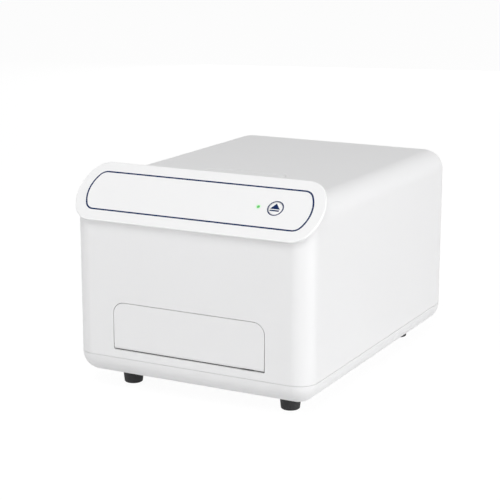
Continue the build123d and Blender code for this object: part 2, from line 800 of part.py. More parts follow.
# ================================================================ carrier
nest_y = y_at(nest_depth)
nest_x = PLATE_LENGTH + 2 * NEST_CLEARANCE
nest_w = PLATE_WIDTH + 2 * NEST_CLEARANCE
window_x = PLATE_LENGTH - 20
window_w = PLATE_WIDTH - 20
window_corner = 5.0
deck_corner = 8.0
corner_wall_gap = nest_x - 50
corner_wall_round = 2.0
finger_gap = 44.0
deck_rib_xs = (-48.0, -16.0, 16.0, 48.0)
deck_rib_half = 1.0
deck_rib_height = 4.0
deck_rib_depths = (nest_depth + nest_w / 2 + 6, CARRIER_BACK - 8)
clamp_front = 246.0
clamp_back = 266.0
clamp_left = 79.0
clamp_right = 90.0
saddle_half = BUSHING_RADIUS + 2.0
saddle_bottom = 53.0
lever_pivot = (-70.5, y_at(nest_depth + 12))
lever_tip = (-68.0, y_at(nest_depth - 12))
lever_pin_radius = 1.5
lever_bottom = deck_top + 0.3
lever_top = lever_bottom + 6
lever_root_radius = 3.6
lever_tip_radius = 3.0
pin_head_radius = 2.6
pin_head_height = 1.0
lever_pin_top = lever_top + 5
lever_coil_pitch = 1.0
lever_coil_height = 3.0
lever_coil_radius = 2.2
lever_wire_radius = 0.3
lever_coil_start = lever_top + 0.6

with BuildPart() as plate_carrier:
    with BuildSketch(Plane.XY.offset(DECK_UNDERSIDE)) as deck:
        with Locations((0, y_at(middle(CARRIER_FRONT, CARRIER_BACK)))):
            Rectangle(2 * CARRIER_HALF_WIDTH, CARRIER_BACK - CARRIER_FRONT)
        fillet(deck.vertices(), deck_corner)
        with Locations((0, nest_y)):
            RectangleRounded(window_x, window_w, window_corner, mode=Mode.SUBTRACT)
    extrude(amount=DECK_THICKNESS)
    block(
        (CARRIER_HALF_WIDTH - JOIN, clamp_right),
        (clamp_front, clamp_back),
        (DECK_UNDERSIDE, deck_top),
    )
    # four corner walls of the nest
    with BuildSketch(Plane.XY.offset(deck_top)):
        with Locations((0, nest_y)):
            RectangleRounded(
                nest_x + 2 * NEST_WALL, nest_w + 2 * NEST_WALL, corner_wall_round
            )
            Rectangle(nest_x, nest_w, mode=Mode.SUBTRACT)
            Rectangle(corner_wall_gap, nest_w + 4 * NEST_WALL, mode=Mode.SUBTRACT)
            Rectangle(nest_x + 4 * NEST_WALL, finger_gap, mode=Mode.SUBTRACT)
    extrude(amount=NEST_WALL_HEIGHT)
    # floor of the nest, a little below the deck
    with BuildSketch(Plane.XY.offset(deck_top)):
        with Locations((0, nest_y)):
            Rectangle(nest_x, nest_w)
    extrude(amount=-NEST_RECESS, mode=Mode.SUBTRACT)
    # stiffening ribs behind the nest
    for x in deck_rib_xs:
        block(
            (x - deck_rib_half, x + deck_rib_half),
            deck_rib_depths,
            (deck_top, deck_top + deck_rib_height),
        )
    # saddles that hold the bushings
    with BuildSketch(upright(SADDLE_FRONT)):
        for side in (-1, 1):
            with Locations((side * ROD_X, middle(saddle_bottom, DECK_UNDERSIDE))):
                Rectangle(2 * saddle_half, DECK_UNDERSIDE - saddle_bottom)
            with Locations((side * ROD_X, ROD_HEIGHT)):
                Circle(BUSHING_RADIUS, mode=Mode.SUBTRACT)
    extrude(amount=-SADDLE_LENGTH)
write(plate_carrier, "plate_carrier")

with BuildPart() as linear_bushings:
    for front in (SADDLE_FRONT, saddle_back - BUSHING_LENGTH):
        with BuildSketch(upright(front)):
            with Locations((-ROD_X, ROD_HEIGHT), (ROD_X, ROD_HEIGHT)):
                Circle(BUSHING_RADIUS)
                Circle(ROD_RADIUS + BUSHING_RUNNING, mode=Mode.SUBTRACT)
        extrude(amount=-BUSHING_LENGTH)
write(linear_bushings, "linear_bushings")

belt_top_middle = ROD_HEIGHT + belt_inner + BELT_THICKNESS / 2
belt_room = 0.3
belt_slot_half = 1.0
belt_clamp_bottom = 66.2

with BuildPart() as belt_clamp:
    block((clamp_left, clamp_right), (clamp_front, clamp_back), (belt_clamp_bottom, DECK_UNDERSIDE))
    block(
        (BELT_X - BELT_WIDTH / 2 - belt_room, BELT_X + BELT_WIDTH / 2 + belt_room),
        (clamp_front, clamp_back),
        (belt_top_middle - belt_slot_half, belt_top_middle + belt_slot_half),
        Mode.SUBTRACT,
    )
write(belt_clamp, "belt_clamp")

with BuildPart() as clamp_pin:
    column([lever_pivot], lever_pin_radius, (deck_top, lever_pin_top))
    column([lever_pivot], pin_head_radius, (lever_pin_top - pin_head_height, lever_pin_top))
write(clamp_pin, "clamp_pin")

with BuildPart() as plate_clamp:
    with BuildSketch(Plane.XY.offset(lever_bottom)):
        with Locations(lever_pivot):
            Circle(lever_root_radius)
        with Locations(lever_tip):
            Circle(lever_tip_radius)
        make_hull()
        with Locations(lever_pivot):
            Circle(lever_pin_radius + PIN_RUNNING, mode=Mode.SUBTRACT)
    extrude(amount=lever_top - lever_bottom)
write(plate_clamp, "plate_clamp")

with BuildPart() as clamp_spring:
    with BuildLine() as lever_coil:
        Helix(
            lever_coil_pitch,
            lever_coil_height,
            lever_coil_radius,
            center=(*lever_pivot, lever_coil_start),
        )
    with BuildSketch(Plane(lever_coil.line @ 0, z_dir=lever_coil.line % 0)):
        RegularPolygon(lever_wire_radius, wire_sides)
    sweep(is_frenet=True)
write(clamp_spring, "clamp_spring")

# ---- belt drive
flange_width = 0.8
tooth_gap = (1.1, 0.9)
belt_side_gap = 0.2
seat_xs = (BELT_X - BELT_WIDTH / 2 - belt_side_gap, BELT_X + BELT_WIDTH / 2 + belt_side_gap)
axle_xs = (79.0, motor_notch_x)
idler_arm_x = 89.5
idler_arm_back = IDLER_DEPTH + 8
idler_arm_top = ROD_HEIGHT + 10
idler_arm_corner = 4.0
spindle_xs = (seat_xs[0] - 2, MOTOR_FACE_X + 8)
collar_radius = 6.5
collar_end = 92.0


def toothed_pulley(depth):
    """Toothed pulley between two flanges, in the part being built."""
    with BuildSketch(sidelong(seat_xs[0])) as teeth:
        with Locations((y_at(depth), ROD_HEIGHT)):
            Circle(PULLEY_RADIUS)
            with PolarLocations(PULLEY_RADIUS, PULLEY_TEETH):
                Rectangle(*tooth_gap, mode=Mode.SUBTRACT)
    extrude(teeth.sketch, amount=seat_xs[1] - seat_xs[0])
    axle(depth, ROD_HEIGHT, PULLEY_FLANGE, (seat_xs[0] - flange_width, seat_xs[0]))
    axle(depth, ROD_HEIGHT, PULLEY_FLANGE, (seat_xs[1], seat_xs[1] + flange_width))


with BuildPart() as idler_pulley:
    toothed_pulley(IDLER_DEPTH)
    axle(IDLER_DEPTH, ROD_HEIGHT, lever_pin_radius + RUNNING, axle_xs, Mode.SUBTRACT)
write(idler_pulley, "idler_pulley")

with BuildPart() as idler_axle:
    axle(IDLER_DEPTH, ROD_HEIGHT, lever_pin_radius, axle_xs)
    axle(IDLER_DEPTH, ROD_HEIGHT, pin_head_radius, (axle_xs[0] - pin_head_height, axle_xs[0]))
write(idler_axle, "idler_axle")

with BuildPart() as idler_bracket:
    block((idler_arm_x, motor_notch_x), (BENCH_FRONT, idler_arm_back), (BENCH_TOP, idler_arm_top))
    axle(IDLER_DEPTH, ROD_HEIGHT, lever_pin_radius, axle_xs, Mode.SUBTRACT)
    fillet(idler_bracket.edges().filter_by(Axis.X).group_by(Axis.Z)[-1], idler_arm_corner)
write(idler_bracket, "idler_bracket")

with BuildPart() as drive_pulley:
    toothed_pulley(DRIVE_DEPTH)
    axle(DRIVE_DEPTH, ROD_HEIGHT, SPINDLE_RADIUS, spindle_xs)
    axle(DRIVE_DEPTH, ROD_HEIGHT, collar_radius, (seat_xs[1] + flange_width, collar_end))
write(drive_pulley, "drive_pulley")

with BuildPart() as drive_belt:
    with BuildSketch(sidelong(BELT_X - BELT_WIDTH / 2)):
        with Locations((y_at(middle(IDLER_DEPTH, DRIVE_DEPTH)), ROD_HEIGHT)):
            SlotCenterToCenter(DRIVE_DEPTH - IDLER_DEPTH, 2 * (belt_inner + BELT_THICKNESS))
            SlotCenterToCenter(DRIVE_DEPTH - IDLER_DEPTH, 2 * belt_inner, mode=Mode.SUBTRACT)
    extrude(amount=BELT_WIDTH)
write(drive_belt, "drive_belt")

motor_boss = 11.0
motor_boss_height = 2.0
motor_corner = 3.0
motor_bore_end = spindle_xs[1] + 2
bracket_back = DRIVE_DEPTH + 22
bracket_top = ROD_HEIGHT + 22
bracket_corner = 5.0

with BuildPart() as drive_motor:
    with BuildSketch(sidelong(MOTOR_FACE_X)) as motor_face:
        with Locations((y_at(DRIVE_DEPTH), ROD_HEIGHT)):
            Rectangle(MOTOR_SIDE, MOTOR_SIDE)
        chamfer(motor_face.vertices(), motor_corner)
    extrude(amount=MOTOR_LENGTH)
    axle(DRIVE_DEPTH, ROD_HEIGHT, motor_boss, (MOTOR_FACE_X - motor_boss_height, MOTOR_FACE_X))
    axle(
        DRIVE_DEPTH,
        ROD_HEIGHT,
        SPINDLE_RADIUS + RUNNING,
        (MOTOR_FACE_X - motor_boss_height, motor_bore_end),
        Mode.SUBTRACT,
    )
write(drive_motor, "drive_motor")

with BuildPart() as motor_bracket:
    block(
        (motor_notch_x, MOTOR_FACE_X),
        (motor_notch_front + JOIN, bracket_back),
        (bench_underside, bracket_top),
    )
    axle(
        DRIVE_DEPTH,
        ROD_HEIGHT,
        motor_boss + SLIDE_FIT,
        (motor_notch_x, MOTOR_FACE_X),
        Mode.SUBTRACT,
    )
    fillet(motor_bracket.edges().filter_by(Axis.X).group_by(Axis.Z)[-1], bracket_corner)
write(motor_bracket, "motor_bracket")

# ================================================================ optics
head_front = READ_DEPTH - HEAD_DEPTH / 2
head_back = READ_DEPTH + HEAD_DEPTH / 2
detector_top = 72.0
detector_bore = 16.0
lens_thickness = 2.0
head_corner = 3.0
fibre_radius = 2.0
fibre_slot = (COLUMNS * WELL_PITCH - 4, 4.0)
shelf_corner = 6.0
shelf_post_radius = 5.0


def well_row(height):
    """Plane over the row of wells that is being read."""
    return Plane((0, y_at(READ_DEPTH), height))


with BuildPart() as detector_block:
    block((-HEAD_LENGTH / 2, HEAD_LENGTH / 2), (head_front, head_back), (BENCH_TOP, detector_top))
    fillet(detector_block.edges().filter_by(Axis.Z), head_corner)
    with BuildSketch(well_row(detector_top)):
        with GridLocations(WELL_PITCH, 0, COLUMNS, 1):
            RegularPolygon(WELL_RADIUS, SMALL_SIDES)
    extrude(amount=-detector_bore, mode=Mode.SUBTRACT)
write(detector_block, "detector_block")

with BuildPart() as detector_lenses:
    with BuildSketch(well_row(detector_top - lens_thickness)):
        with GridLocations(WELL_PITCH, 0, COLUMNS, 1):
            RegularPolygon(WELL_RADIUS, SMALL_SIDES)
    extrude(amount=lens_thickness)
write(detector_lenses, "detector_lenses")

with BuildPart() as fibre_head:
    block(
        (-HEAD_LENGTH / 2, HEAD_LENGTH / 2), (head_front, head_back), (HEAD_BOTTOM, SHELF_UNDERSIDE)
    )
    fillet(fibre_head.edges().filter_by(Axis.Z), head_corner)
    with BuildSketch(well_row(HEAD_BOTTOM)):
        with GridLocations(WELL_PITCH, 0, COLUMNS, 1):
            RegularPolygon(fibre_radius, SMALL_SIDES)
    extrude(amount=SHELF_UNDERSIDE - HEAD_BOTTOM, mode=Mode.SUBTRACT)
write(fibre_head, "fibre_head")

with BuildPart() as optics_shelf:
    with BuildSketch(Plane.XY.offset(SHELF_UNDERSIDE)):
        with Locations((0, y_at(middle(SHELF_FRONT, SHELF_BACK)))):
            RectangleRounded(2 * BENCH_HALF_WIDTH, SHELF_BACK - SHELF_FRONT, shelf_corner)
        with Locations(*shelf_post_places):
            RegularPolygon(THREAD_HOLE, SMALL_SIDES, mode=Mode.SUBTRACT)
    extrude(amount=SHELF_THICKNESS)
    # one slot lets the row of fibres through
    with BuildSketch(well_row(SHELF_UNDERSIDE)):
        Rectangle(*fibre_slot)
    extrude(amount=SHELF_THICKNESS, mode=Mode.SUBTRACT)
write(optics_shelf, "optics_shelf")

with BuildPart() as shelf_posts:
    with BuildSketch(Plane.XY.offset(BENCH_TOP)):
        with Locations(*shelf_post_places):
            RegularPolygon(shelf_post_radius, hexagon)
    extrude(amount=SHELF_UNDERSIDE - BENCH_TOP)
    column(shelf_post_places, THREAD_HOLE, (SHELF_UNDERSIDE, shelf_top), sides=SMALL_SIDES)
    column(
        shelf_post_places, HEAD_RADIUS, (shelf_top, shelf_top + HEAD_HEIGHT), sides=SMALL_SIDES
    )
write(shelf_posts, "shelf_posts")

beam = (FILTER_CIRCLE, WHEEL_HEIGHT)
guide_radius = 4.0
guide_port_depth = WHEEL_FRONT - 5.0
guide_front_depth = 78.0
guide_low = shelf_top + guide_radius + 1.2
guide_bend = 14.0
guide_sides = 12
guide_socket = 6.0
manifold_front = 110.0
manifold_height = 9.0
manifold_top = (HEAD_LENGTH - 12, HEAD_DEPTH - 6)

with BuildPart() as fibre_manifold:
    with BuildSketch(Plane.XY.offset(shelf_top)):
        with Locations((0, y_at(READ_DEPTH))):
            Rectangle(HEAD_LENGTH, HEAD_DEPTH)
    with BuildSketch(Plane.XY.offset(shelf_top + manifold_height)):
        with Locations((0, y_at(READ_DEPTH))):
            Rectangle(*manifold_top)
    loft()
    shaft((FILTER_CIRCLE, guide_low), guide_radius + 1, (manifold_front, READ_DEPTH))
    shaft(
        (FILTER_CIRCLE, guide_low),
        guide_radius,
        (manifold_front, manifold_front + guide_socket),
        Mode.SUBTRACT,
    )
write(fibre_manifold, "fibre_manifold")

with BuildPart() as light_guide:
    with BuildLine() as guide_path:
        FilletPolyline(
            (FILTER_CIRCLE, y_at(guide_port_depth), WHEEL_HEIGHT),
            (FILTER_CIRCLE, y_at(guide_front_depth), WHEEL_HEIGHT),
            (FILTER_CIRCLE, y_at(guide_front_depth), guide_low),
            (FILTER_CIRCLE, y_at(manifold_front + guide_socket), guide_low),
            radius=guide_bend,
        )
    with BuildSketch(upright(guide_port_depth)):
        with Locations(beam):
            RegularPolygon(guide_radius, guide_sides)
    sweep()
write(light_guide, "light_guide")

bracket_front = 112.0
bracket_thickness = 3.0
tube_radius = 9.0
filter_motor_side = 28.0
filter_motor_length = 30.0

arch_height = shelf_top + 11.5
web_top = WHEEL_HEIGHT + 18
web_xs = (-20.0, 46.0)
web_corner = 6.0
crossbar = 12.0
leg_outside = 62.0
leg_width = 5.0
toe_reach = 8.0
toe_depths = (bracket_front, bracket_front + 26)
toe_height = 3.0
motor_nose_radius = 9.0

with BuildPart() as optics_bracket:
    with BuildSketch(upright(bracket_front)):
        with Locations((middle(*web_xs), middle(arch_height, web_top))):
            RectangleRounded(web_xs[1] - web_xs[0], web_top - arch_height, web_corner)
        with Locations((0, arch_height + crossbar / 2)):
            Rectangle(2 * leg_outside, crossbar)
        for side in (-1, 1):
            with Locations((side * (leg_outside - leg_width / 2), middle(shelf_top, arch_height))):
                Rectangle(leg_width, arch_height - shelf_top)
        with Locations((0, WHEEL_HEIGHT)):
            Circle(motor_nose_radius + SLIDE_FIT, mode=Mode.SUBTRACT)
        with Locations(beam):
            Circle(tube_radius, mode=Mode.SUBTRACT)
    extrude(amount=-bracket_thickness)
    for side in (-1, 1):
        toe_xs = sorted((side * (leg_outside - leg_width), side * (leg_outside + toe_reach)))
        block(toe_xs, toe_depths, (shelf_top, shelf_top + toe_height))
write(optics_bracket, "optics_bracket")

motor_front = bracket_front + bracket_thickness
filter_motor_corner = 2.5
wheel_spindle_back = motor_front + 8

with BuildPart() as filter_motor:
    with BuildSketch(upright(motor_front)) as small_face:
        with Locations((0, WHEEL_HEIGHT)):
            Rectangle(filter_motor_side, filter_motor_side)
        chamfer(small_face.vertices(), filter_motor_corner)
    extrude(amount=-filter_motor_length)
    shaft((0, WHEEL_HEIGHT), motor_nose_radius, (bracket_front + 1, motor_front))
    shaft(
        (0, WHEEL_HEIGHT),
        SPINDLE_RADIUS + RUNNING,
        (bracket_front, wheel_spindle_back + 2),
        Mode.SUBTRACT,
    )
write(filter_motor, "filter_motor")

wheel_back = WHEEL_FRONT + WHEEL_THICKNESS
index_notch = (6.0, 3.0)
wheel_hub_radius = 8.0
wheel_hub_depths = (WHEEL_FRONT - 3, wheel_back + 2.5)
filter_edge = 1.0

with BuildPart() as filter_wheel:
    with BuildSketch(upright(WHEEL_FRONT)):
        with Locations((0, WHEEL_HEIGHT)):
            Circle(WHEEL_RADIUS)
            with PolarLocations(FILTER_CIRCLE, FILTER_COUNT):
                RegularPolygon(FILTER_RADIUS, FILTER_SIDES, mode=Mode.SUBTRACT)
            with Locations((0, WHEEL_RADIUS)):
                Rectangle(*index_notch, mode=Mode.SUBTRACT)
    extrude(amount=-WHEEL_THICKNESS)
    shaft((0, WHEEL_HEIGHT), wheel_hub_radius, wheel_hub_depths)
    shaft((0, WHEEL_HEIGHT), SPINDLE_RADIUS, (wheel_hub_depths[0] - 1, wheel_spindle_back))
write(filter_wheel, "filter_wheel")

with BuildPart() as filters:
    with BuildSketch(upright(WHEEL_FRONT + filter_edge)):
        with Locations((0, WHEEL_HEIGHT)):
            with PolarLocations(FILTER_CIRCLE, FILTER_COUNT):
                RegularPolygon(FILTER_RADIUS, FILTER_SIDES)
    extrude(amount=-(WHEEL_THICKNESS - 2 * filter_edge))
write(filters, "filters")

lamp_front = 162.0
lamp_back = 222.0
lamp_half = 25.0
lamp_top = WHEEL_HEIGHT + 28.0
fin_count = 7
fin_pitch = 8.0
fin_cut = 4.5
fin_root = 14.0
fin_bottom = shelf_top + 6
lamp_bore = 15.0
lamp_base_radius = 6.5
bulb_radius = 5.0
bulb_tip = 3.0
lamp_seat = lamp_back - 4
lamp_base_depths = (lamp_back - 14, lamp_back + 4)
bulb_front = lamp_back - 36
tube_bore = tube_radius - 1.5
tube_back = lamp_front + 6
lamp_throat = tube_back + 4
condenser_depth = 136.0
condenser_thickness = 4.0
condenser_bevel = (1.5, 3.0)

with BuildPart() as lens_tube:
    shaft(beam, tube_radius, (bracket_front, tube_back))
    shaft(beam, tube_bore, (bracket_front, tube_back), Mode.SUBTRACT)
write(lens_tube, "lens_tube")

with BuildPart() as condenser_lens:
    shaft(beam, tube_bore, (condenser_depth, condenser_depth + condenser_thickness))
    chamfer(condenser_lens.faces().sort_by(Axis.Y)[-1].edges(), *condenser_bevel)
write(condenser_lens, "condenser_lens")

with BuildPart() as lamp_housing:
    block(
        (FILTER_CIRCLE - lamp_half, FILTER_CIRCLE + lamp_half),
        (lamp_front, lamp_back),
        (shelf_top, lamp_top),
    )
    shaft(beam, tube_radius, (lamp_front, lamp_throat), Mode.SUBTRACT)
    shaft(beam, lamp_bore, (lamp_throat - 2, lamp_seat), Mode.SUBTRACT)
    shaft(beam, lamp_base_radius, (lamp_seat, lamp_back), Mode.SUBTRACT)
    with BuildSketch(Plane.XY.offset(fin_bottom)):
        for side in (-1, 1):
            with Locations((FILTER_CIRCLE + side * lamp_half, y_at(middle(lamp_front, lamp_back)))):
                with GridLocations(0, fin_pitch, 1, fin_count):
                    Rectangle(fin_root, fin_cut)
    extrude(amount=lamp_top - shelf_top, mode=Mode.SUBTRACT)
write(lamp_housing, "lamp_housing")

with BuildPart() as halogen_lamp:
    shaft(beam, lamp_base_radius, lamp_base_depths)
    shaft(beam, bulb_radius, (bulb_front, lamp_base_depths[0]))
    chamfer(halogen_lamp.faces().sort_by(Axis.Y)[0].edges(), bulb_tip)
write(halogen_lamp, "halogen_lamp")

# ================================================================ electronics and back
board_centre = (y_at(145), 90.0)
board_size = (210.0, 120.0)
board_corner = 3.0
processor_place = (y_at(110), 96.0)
processor_side = 28.0
driver_centre = (y_at(180), 100.0)
driver_spacing = (22.0, 30.0)
driver_size = (12.0, 18.0)
chip_height = 2.0
socket_places = [(y_at(60), 130.0), (y_at(60), 90.0), (y_at(230), 60.0)]
socket_size = (10.0, 24.0)
capacitor_places = [(y_at(depth), 56.0) for depth in (120, 140, 160)]
capacitor_radius = 5.0
socket_height = 8.0

with BuildPart() as main_board:
    with BuildSketch(sidelong(board_x)):
        with Locations(board_centre):
            Rectangle(*board_size)
    extrude(amount=board_thickness)
    chamfer(main_board.edges().filter_by(Axis.X), board_corner)
    with BuildSketch(sidelong(board_x)):
        with Locations(processor_place):
            Rectangle(processor_side, processor_side)
        with Locations(driver_centre):
            with GridLocations(*driver_spacing, 2, 2):
                Rectangle(*driver_size)
    extrude(amount=-chip_height)
    with BuildSketch(sidelong(board_x)):
        with Locations(*socket_places):
            Rectangle(*socket_size)
        with Locations(*capacitor_places):
            Circle(capacitor_radius)
    extrude(amount=-socket_height)
write(main_board, "main_board")

supply_board = 2.0
sink_thickness = 2.0
transformer_xs = (supply_xs[0] + 8, supply_xs[0] + 38)
transformer_depths = (supply_depths[0] + 12, supply_depths[0] + 40)
transformer_top = supply_top - 4
reservoir_places = [(supply_xs[1] - inset, y_at(supply_depths[0] + 20)) for inset in (14, 30)]
reservoir_radius = 7.0
rear_sink_xs = (supply_xs[0] + 10, supply_xs[1] - 10)
rear_sink_depths = (supply_depths[1] - 20, supply_depths[1] - 17)

with BuildPart() as power_supply:
    block(supply_xs, supply_depths, (supply_bottom, supply_bottom + supply_board))
    block(
        supply_xs,
        (supply_depths[0], supply_depths[0] + sink_thickness),
        (supply_bottom, supply_top),
    )
    block(transformer_xs, transformer_depths, (supply_bottom, transformer_top))
    column(reservoir_places, reservoir_radius, (supply_bottom, supply_top - 2))
    block(rear_sink_xs, rear_sink_depths, (supply_bottom, supply_top))
write(power_supply, "power_supply")

panel_front = panel_back - PANEL_THICKNESS
panel_radius = 4.0
inlet_flange = (48.0, 24.0)
inlet_body = (27.4, 20.0)
inlet_cavity = (24.4, 16.2)
inlet_reach = 22.0
inlet_floor_depth = 16.0
inlet_place = (INLET_X, INLET_HEIGHT)
switch_place = (INLET_X, SWITCH_HEIGHT)
switch_body = (13.0, 19.4)
switch_flange = (15.0, 21.4)
usb_place = (USB_X, INLET_HEIGHT)
usb_shell = (12.0, 11.0)
usb_reach = 16.0
usb_lip = 0.6
usb_wall = 1.0
usb_tongue = (5.6, 3.2)
usb_tongue_gap = 3.0
inlet_corner = 4.0
flange_thickness = 2.0
pin_size = (2.0, 4.0)
pin_pitch = 7.0
pin_offset = 3.0
pin_length = 14.0
switch_flange_thickness = 1.6
switch_reach = 16.0
rocker_well = (10.4, 17.6)
rocker_well_depth = 9.0
rocker_axis_depth = panel_back - 3
rocker_axle_radius = 1.14
rocker_axle_half = 5.9
rocker_socket_radius = 1.2
fan_place = (FAN_X, FAN_HEIGHT)
fan_hole_reach = 25.0
fan_holes = [
    (FAN_X + across * fan_hole_reach, FAN_HEIGHT + up * fan_hole_reach)
    for across in (-1, 1)
    for up in (-1, 1)
]
inlet_hole_reach = 20.0
inlet_holes = [(INLET_X + side * inlet_hole_reach, INLET_HEIGHT) for side in (-1, 1)]
panel_hole_inset = 6.0
panel_holes = [
    (side * (CUTOUT_HALF_WIDTH - panel_hole_inset), level)
    for side in (-1, 1)
    for level in (CUTOUT_BOTTOM + panel_hole_inset, CUTOUT_TOP - panel_hole_inset)
]
panel_vent_centre = (-20.0, 140.0)
panel_vent_pitch = 8.0
panel_vent_count = 6
panel_vent_size = (3.4, 34.0)
# grille in front of the fan: slots that shorten towards the edge of a circle
grille_radius = FAN_BORE - 2
grille_count = 7
grille_pitch = 7.2
grille_width = 4.6
fixing_radius = 1.6

with BuildPart() as rear_panel:
    with BuildSketch(upright(panel_front)):
        with Locations((0, middle(CUTOUT_BOTTOM, CUTOUT_TOP))):
            RectangleRounded(
                2 * (CUTOUT_HALF_WIDTH + PANEL_MARGIN),
                CUTOUT_TOP - CUTOUT_BOTTOM + 2 * PANEL_MARGIN,
                panel_radius,
            )
        with Locations(inlet_place):
            Rectangle(*inlet_body, mode=Mode.SUBTRACT)
        with Locations(switch_place):
            Rectangle(*switch_body, mode=Mode.SUBTRACT)
        with Locations(usb_place):
            Rectangle(*usb_shell, mode=Mode.SUBTRACT)
        with Locations(*fan_holes, *inlet_holes, *panel_holes):
            RegularPolygon(fixing_radius, SMALL_SIDES, mode=Mode.SUBTRACT)
        with Locations(panel_vent_centre):
            with GridLocations(panel_vent_pitch, 0, panel_vent_count, 1):
                Rectangle(*panel_vent_size, mode=Mode.SUBTRACT)
        for slot in range(grille_count):
            offset_x = (slot - (grille_count - 1) / 2) * grille_pitch
            slot_length = 2 * sqrt(grille_radius**2 - offset_x**2)
            with Locations((FAN_X + offset_x, FAN_HEIGHT)):
                Rectangle(grille_width, slot_length, mode=Mode.SUBTRACT)
    extrude(amount=-PANEL_THICKNESS)
write(rear_panel, "rear_panel")

with BuildPart() as power_inlet:
    with BuildSketch(upright(panel_back)) as flange_face:
        with Locations(inlet_place):
            RectangleRounded(*inlet_flange, inlet_corner)
        with Locations(*inlet_holes):
            RegularPolygon(fixing_radius, SMALL_SIDES, mode=Mode.SUBTRACT)
    extrude(amount=-flange_thickness)
    with BuildSketch(upright(panel_back)):
        with Locations(inlet_place):
            Rectangle(*inlet_body)
    extrude(amount=inlet_reach)
    with BuildSketch(upright(panel_back + flange_thickness)) as cavity:
        with Locations(inlet_place):
            Rectangle(*inlet_cavity)
        chamfer(cavity.vertices().group_by(Axis.Y)[-1], inlet_corner)
    extrude(amount=inlet_floor_depth + flange_thickness, mode=Mode.SUBTRACT)
    # two line pins below and the taller earth pin above
    with BuildSketch(upright(panel_back - inlet_floor_depth)):
        with Locations(
            (INLET_X - pin_pitch, INLET_HEIGHT - pin_offset),
            (INLET_X + pin_pitch, INLET_HEIGHT - pin_offset),
            (INLET_X, INLET_HEIGHT + pin_offset),
        ):
            Rectangle(*pin_size)
    extrude(amount=-pin_length)
write(power_inlet, "power_inlet")

with BuildPart() as power_switch:
    with BuildSketch(upright(panel_back)):
        with Locations(switch_place):
            Rectangle(*switch_flange)
    extrude(amount=-switch_flange_thickness)
    with BuildSketch(upright(panel_back)):
        with Locations(switch_place):
            Rectangle(*switch_body)
    extrude(amount=switch_reach)
    with BuildSketch(upright(panel_back + switch_flange_thickness)):
        with Locations(switch_place):
            Rectangle(*rocker_well)
    extrude(amount=switch_flange_thickness + rocker_well_depth, mode=Mode.SUBTRACT)
    axle(
        rocker_axis_depth,
        SWITCH_HEIGHT,
        rocker_socket_radius,
        (INLET_X - rocker_axle_half - SLIDE_FIT, INLET_X + rocker_axle_half + SLIDE_FIT),
        Mode.SUBTRACT,
    )
write(power_switch, "power_switch")

rocker_throw = radians(7.0)
rocker_half = 5.0
rocker_outline = [(-4, -6.5), (4.6, -7.2), (2.6, 0), (4.6, 7.2), (-4, 6.5)]
rocker_plane = Plane(
    origin=(INLET_X - rocker_half, y_at(rocker_axis_depth), SWITCH_HEIGHT),
    x_dir=(0, cos(rocker_throw), sin(rocker_throw)),
    z_dir=(1, 0, 0),
)

with BuildPart() as power_rocker:
    with BuildSketch(rocker_plane):
        with BuildLine():
            Polyline(*rocker_outline, close=True)
        make_face()
    extrude(amount=2 * rocker_half)
    axle(
        rocker_axis_depth,
        SWITCH_HEIGHT,
        rocker_axle_radius,
        (INLET_X - rocker_axle_half, INLET_X + rocker_axle_half),
    )
write(power_rocker, "power_rocker")

with BuildPart() as usb_port:
    with BuildSketch(upright(panel_back + usb_lip)):
        with Locations(usb_place):
            Rectangle(*usb_shell)
            Rectangle(
                usb_shell[0] - 2 * usb_wall,
                usb_shell[1] - 2 * usb_wall,
                mode=Mode.SUBTRACT,
            )
    extrude(amount=usb_reach)
    with BuildSketch(upright(panel_back - usb_reach + usb_lip)):
        with Locations(usb_place):
            Rectangle(*usb_shell)
    extrude(amount=2 * usb_wall)
    with BuildSketch(upright(panel_back - usb_reach + usb_lip)):
        with Locations(usb_place):
            Rectangle(*usb_tongue)
    extrude(amount=-(usb_reach - usb_tongue_gap))
write(usb_port, "usb_port")

fan_front = panel_front - FAN_DEPTH
fan_corner = 4.0
hub_radius = 11.0
blade_count = 7
blade_chord = 15.0
blade_thickness = 1.2
blade_pitch = 35.0
arm_count = 3
arm_width = 3.0
spider_depth = 3.0
spindle = 1.5

with BuildPart() as fan_frame:
    with BuildSketch(upright(fan_front)):
        with Locations(fan_place):
            RectangleRounded(FAN_SIDE, FAN_SIDE, fan_corner)
            Circle(FAN_BORE, mode=Mode.SUBTRACT)
        with Locations(*fan_holes):
            RegularPolygon(fixing_radius, SMALL_SIDES, mode=Mode.SUBTRACT)
    extrude(amount=-FAN_DEPTH)
    with BuildSketch(upright(fan_front)):
        with Locations(fan_place):
            Circle(hub_radius)
            with PolarLocations(0, arm_count):
                with Locations(((FAN_BORE + JOIN) / 2, 0)):
                    Rectangle(FAN_BORE + JOIN, arm_width)
    extrude(amount=-spider_depth)
    shaft(fan_place, spindle, (fan_front + spider_depth, panel_front - 2))
write(fan_frame, "fan_frame")

rotor_front = fan_front + spider_depth + 1.0
rotor_back = panel_front - 1.5
blade_tip = FAN_BORE - 1.2
fan_centre = Location((FAN_X, y_at(middle(rotor_front, rotor_back)), FAN_HEIGHT))

with BuildPart() as fan_rotor:
    shaft(fan_place, hub_radius, (rotor_front, rotor_back))
    for blade in range(blade_count):
        spin = Rotation(0, 360 / blade_count * blade, 0)
        pitch = Location((middle(hub_radius, blade_tip), 0, 0)) * Rotation(blade_pitch, 0, 0)
        with Locations(fan_centre * spin * pitch):
            Box(blade_tip - hub_radius + 2 * JOIN, blade_chord, blade_thickness)
    shaft(fan_place, spindle + RUNNING, (rotor_front, rotor_back), Mode.SUBTRACT)
    shaft(fan_place, blade_tip, (rotor_front, rotor_back), Mode.INTERSECT)
write(fan_rotor, "fan_rotor")

fixing_shank = fixing_radius - RUNNING
fixing_front = panel_front - 1
panel_head = (2.6, 1.6)
inlet_head = (2.4, 0.9)
flange_back = panel_back + flange_thickness

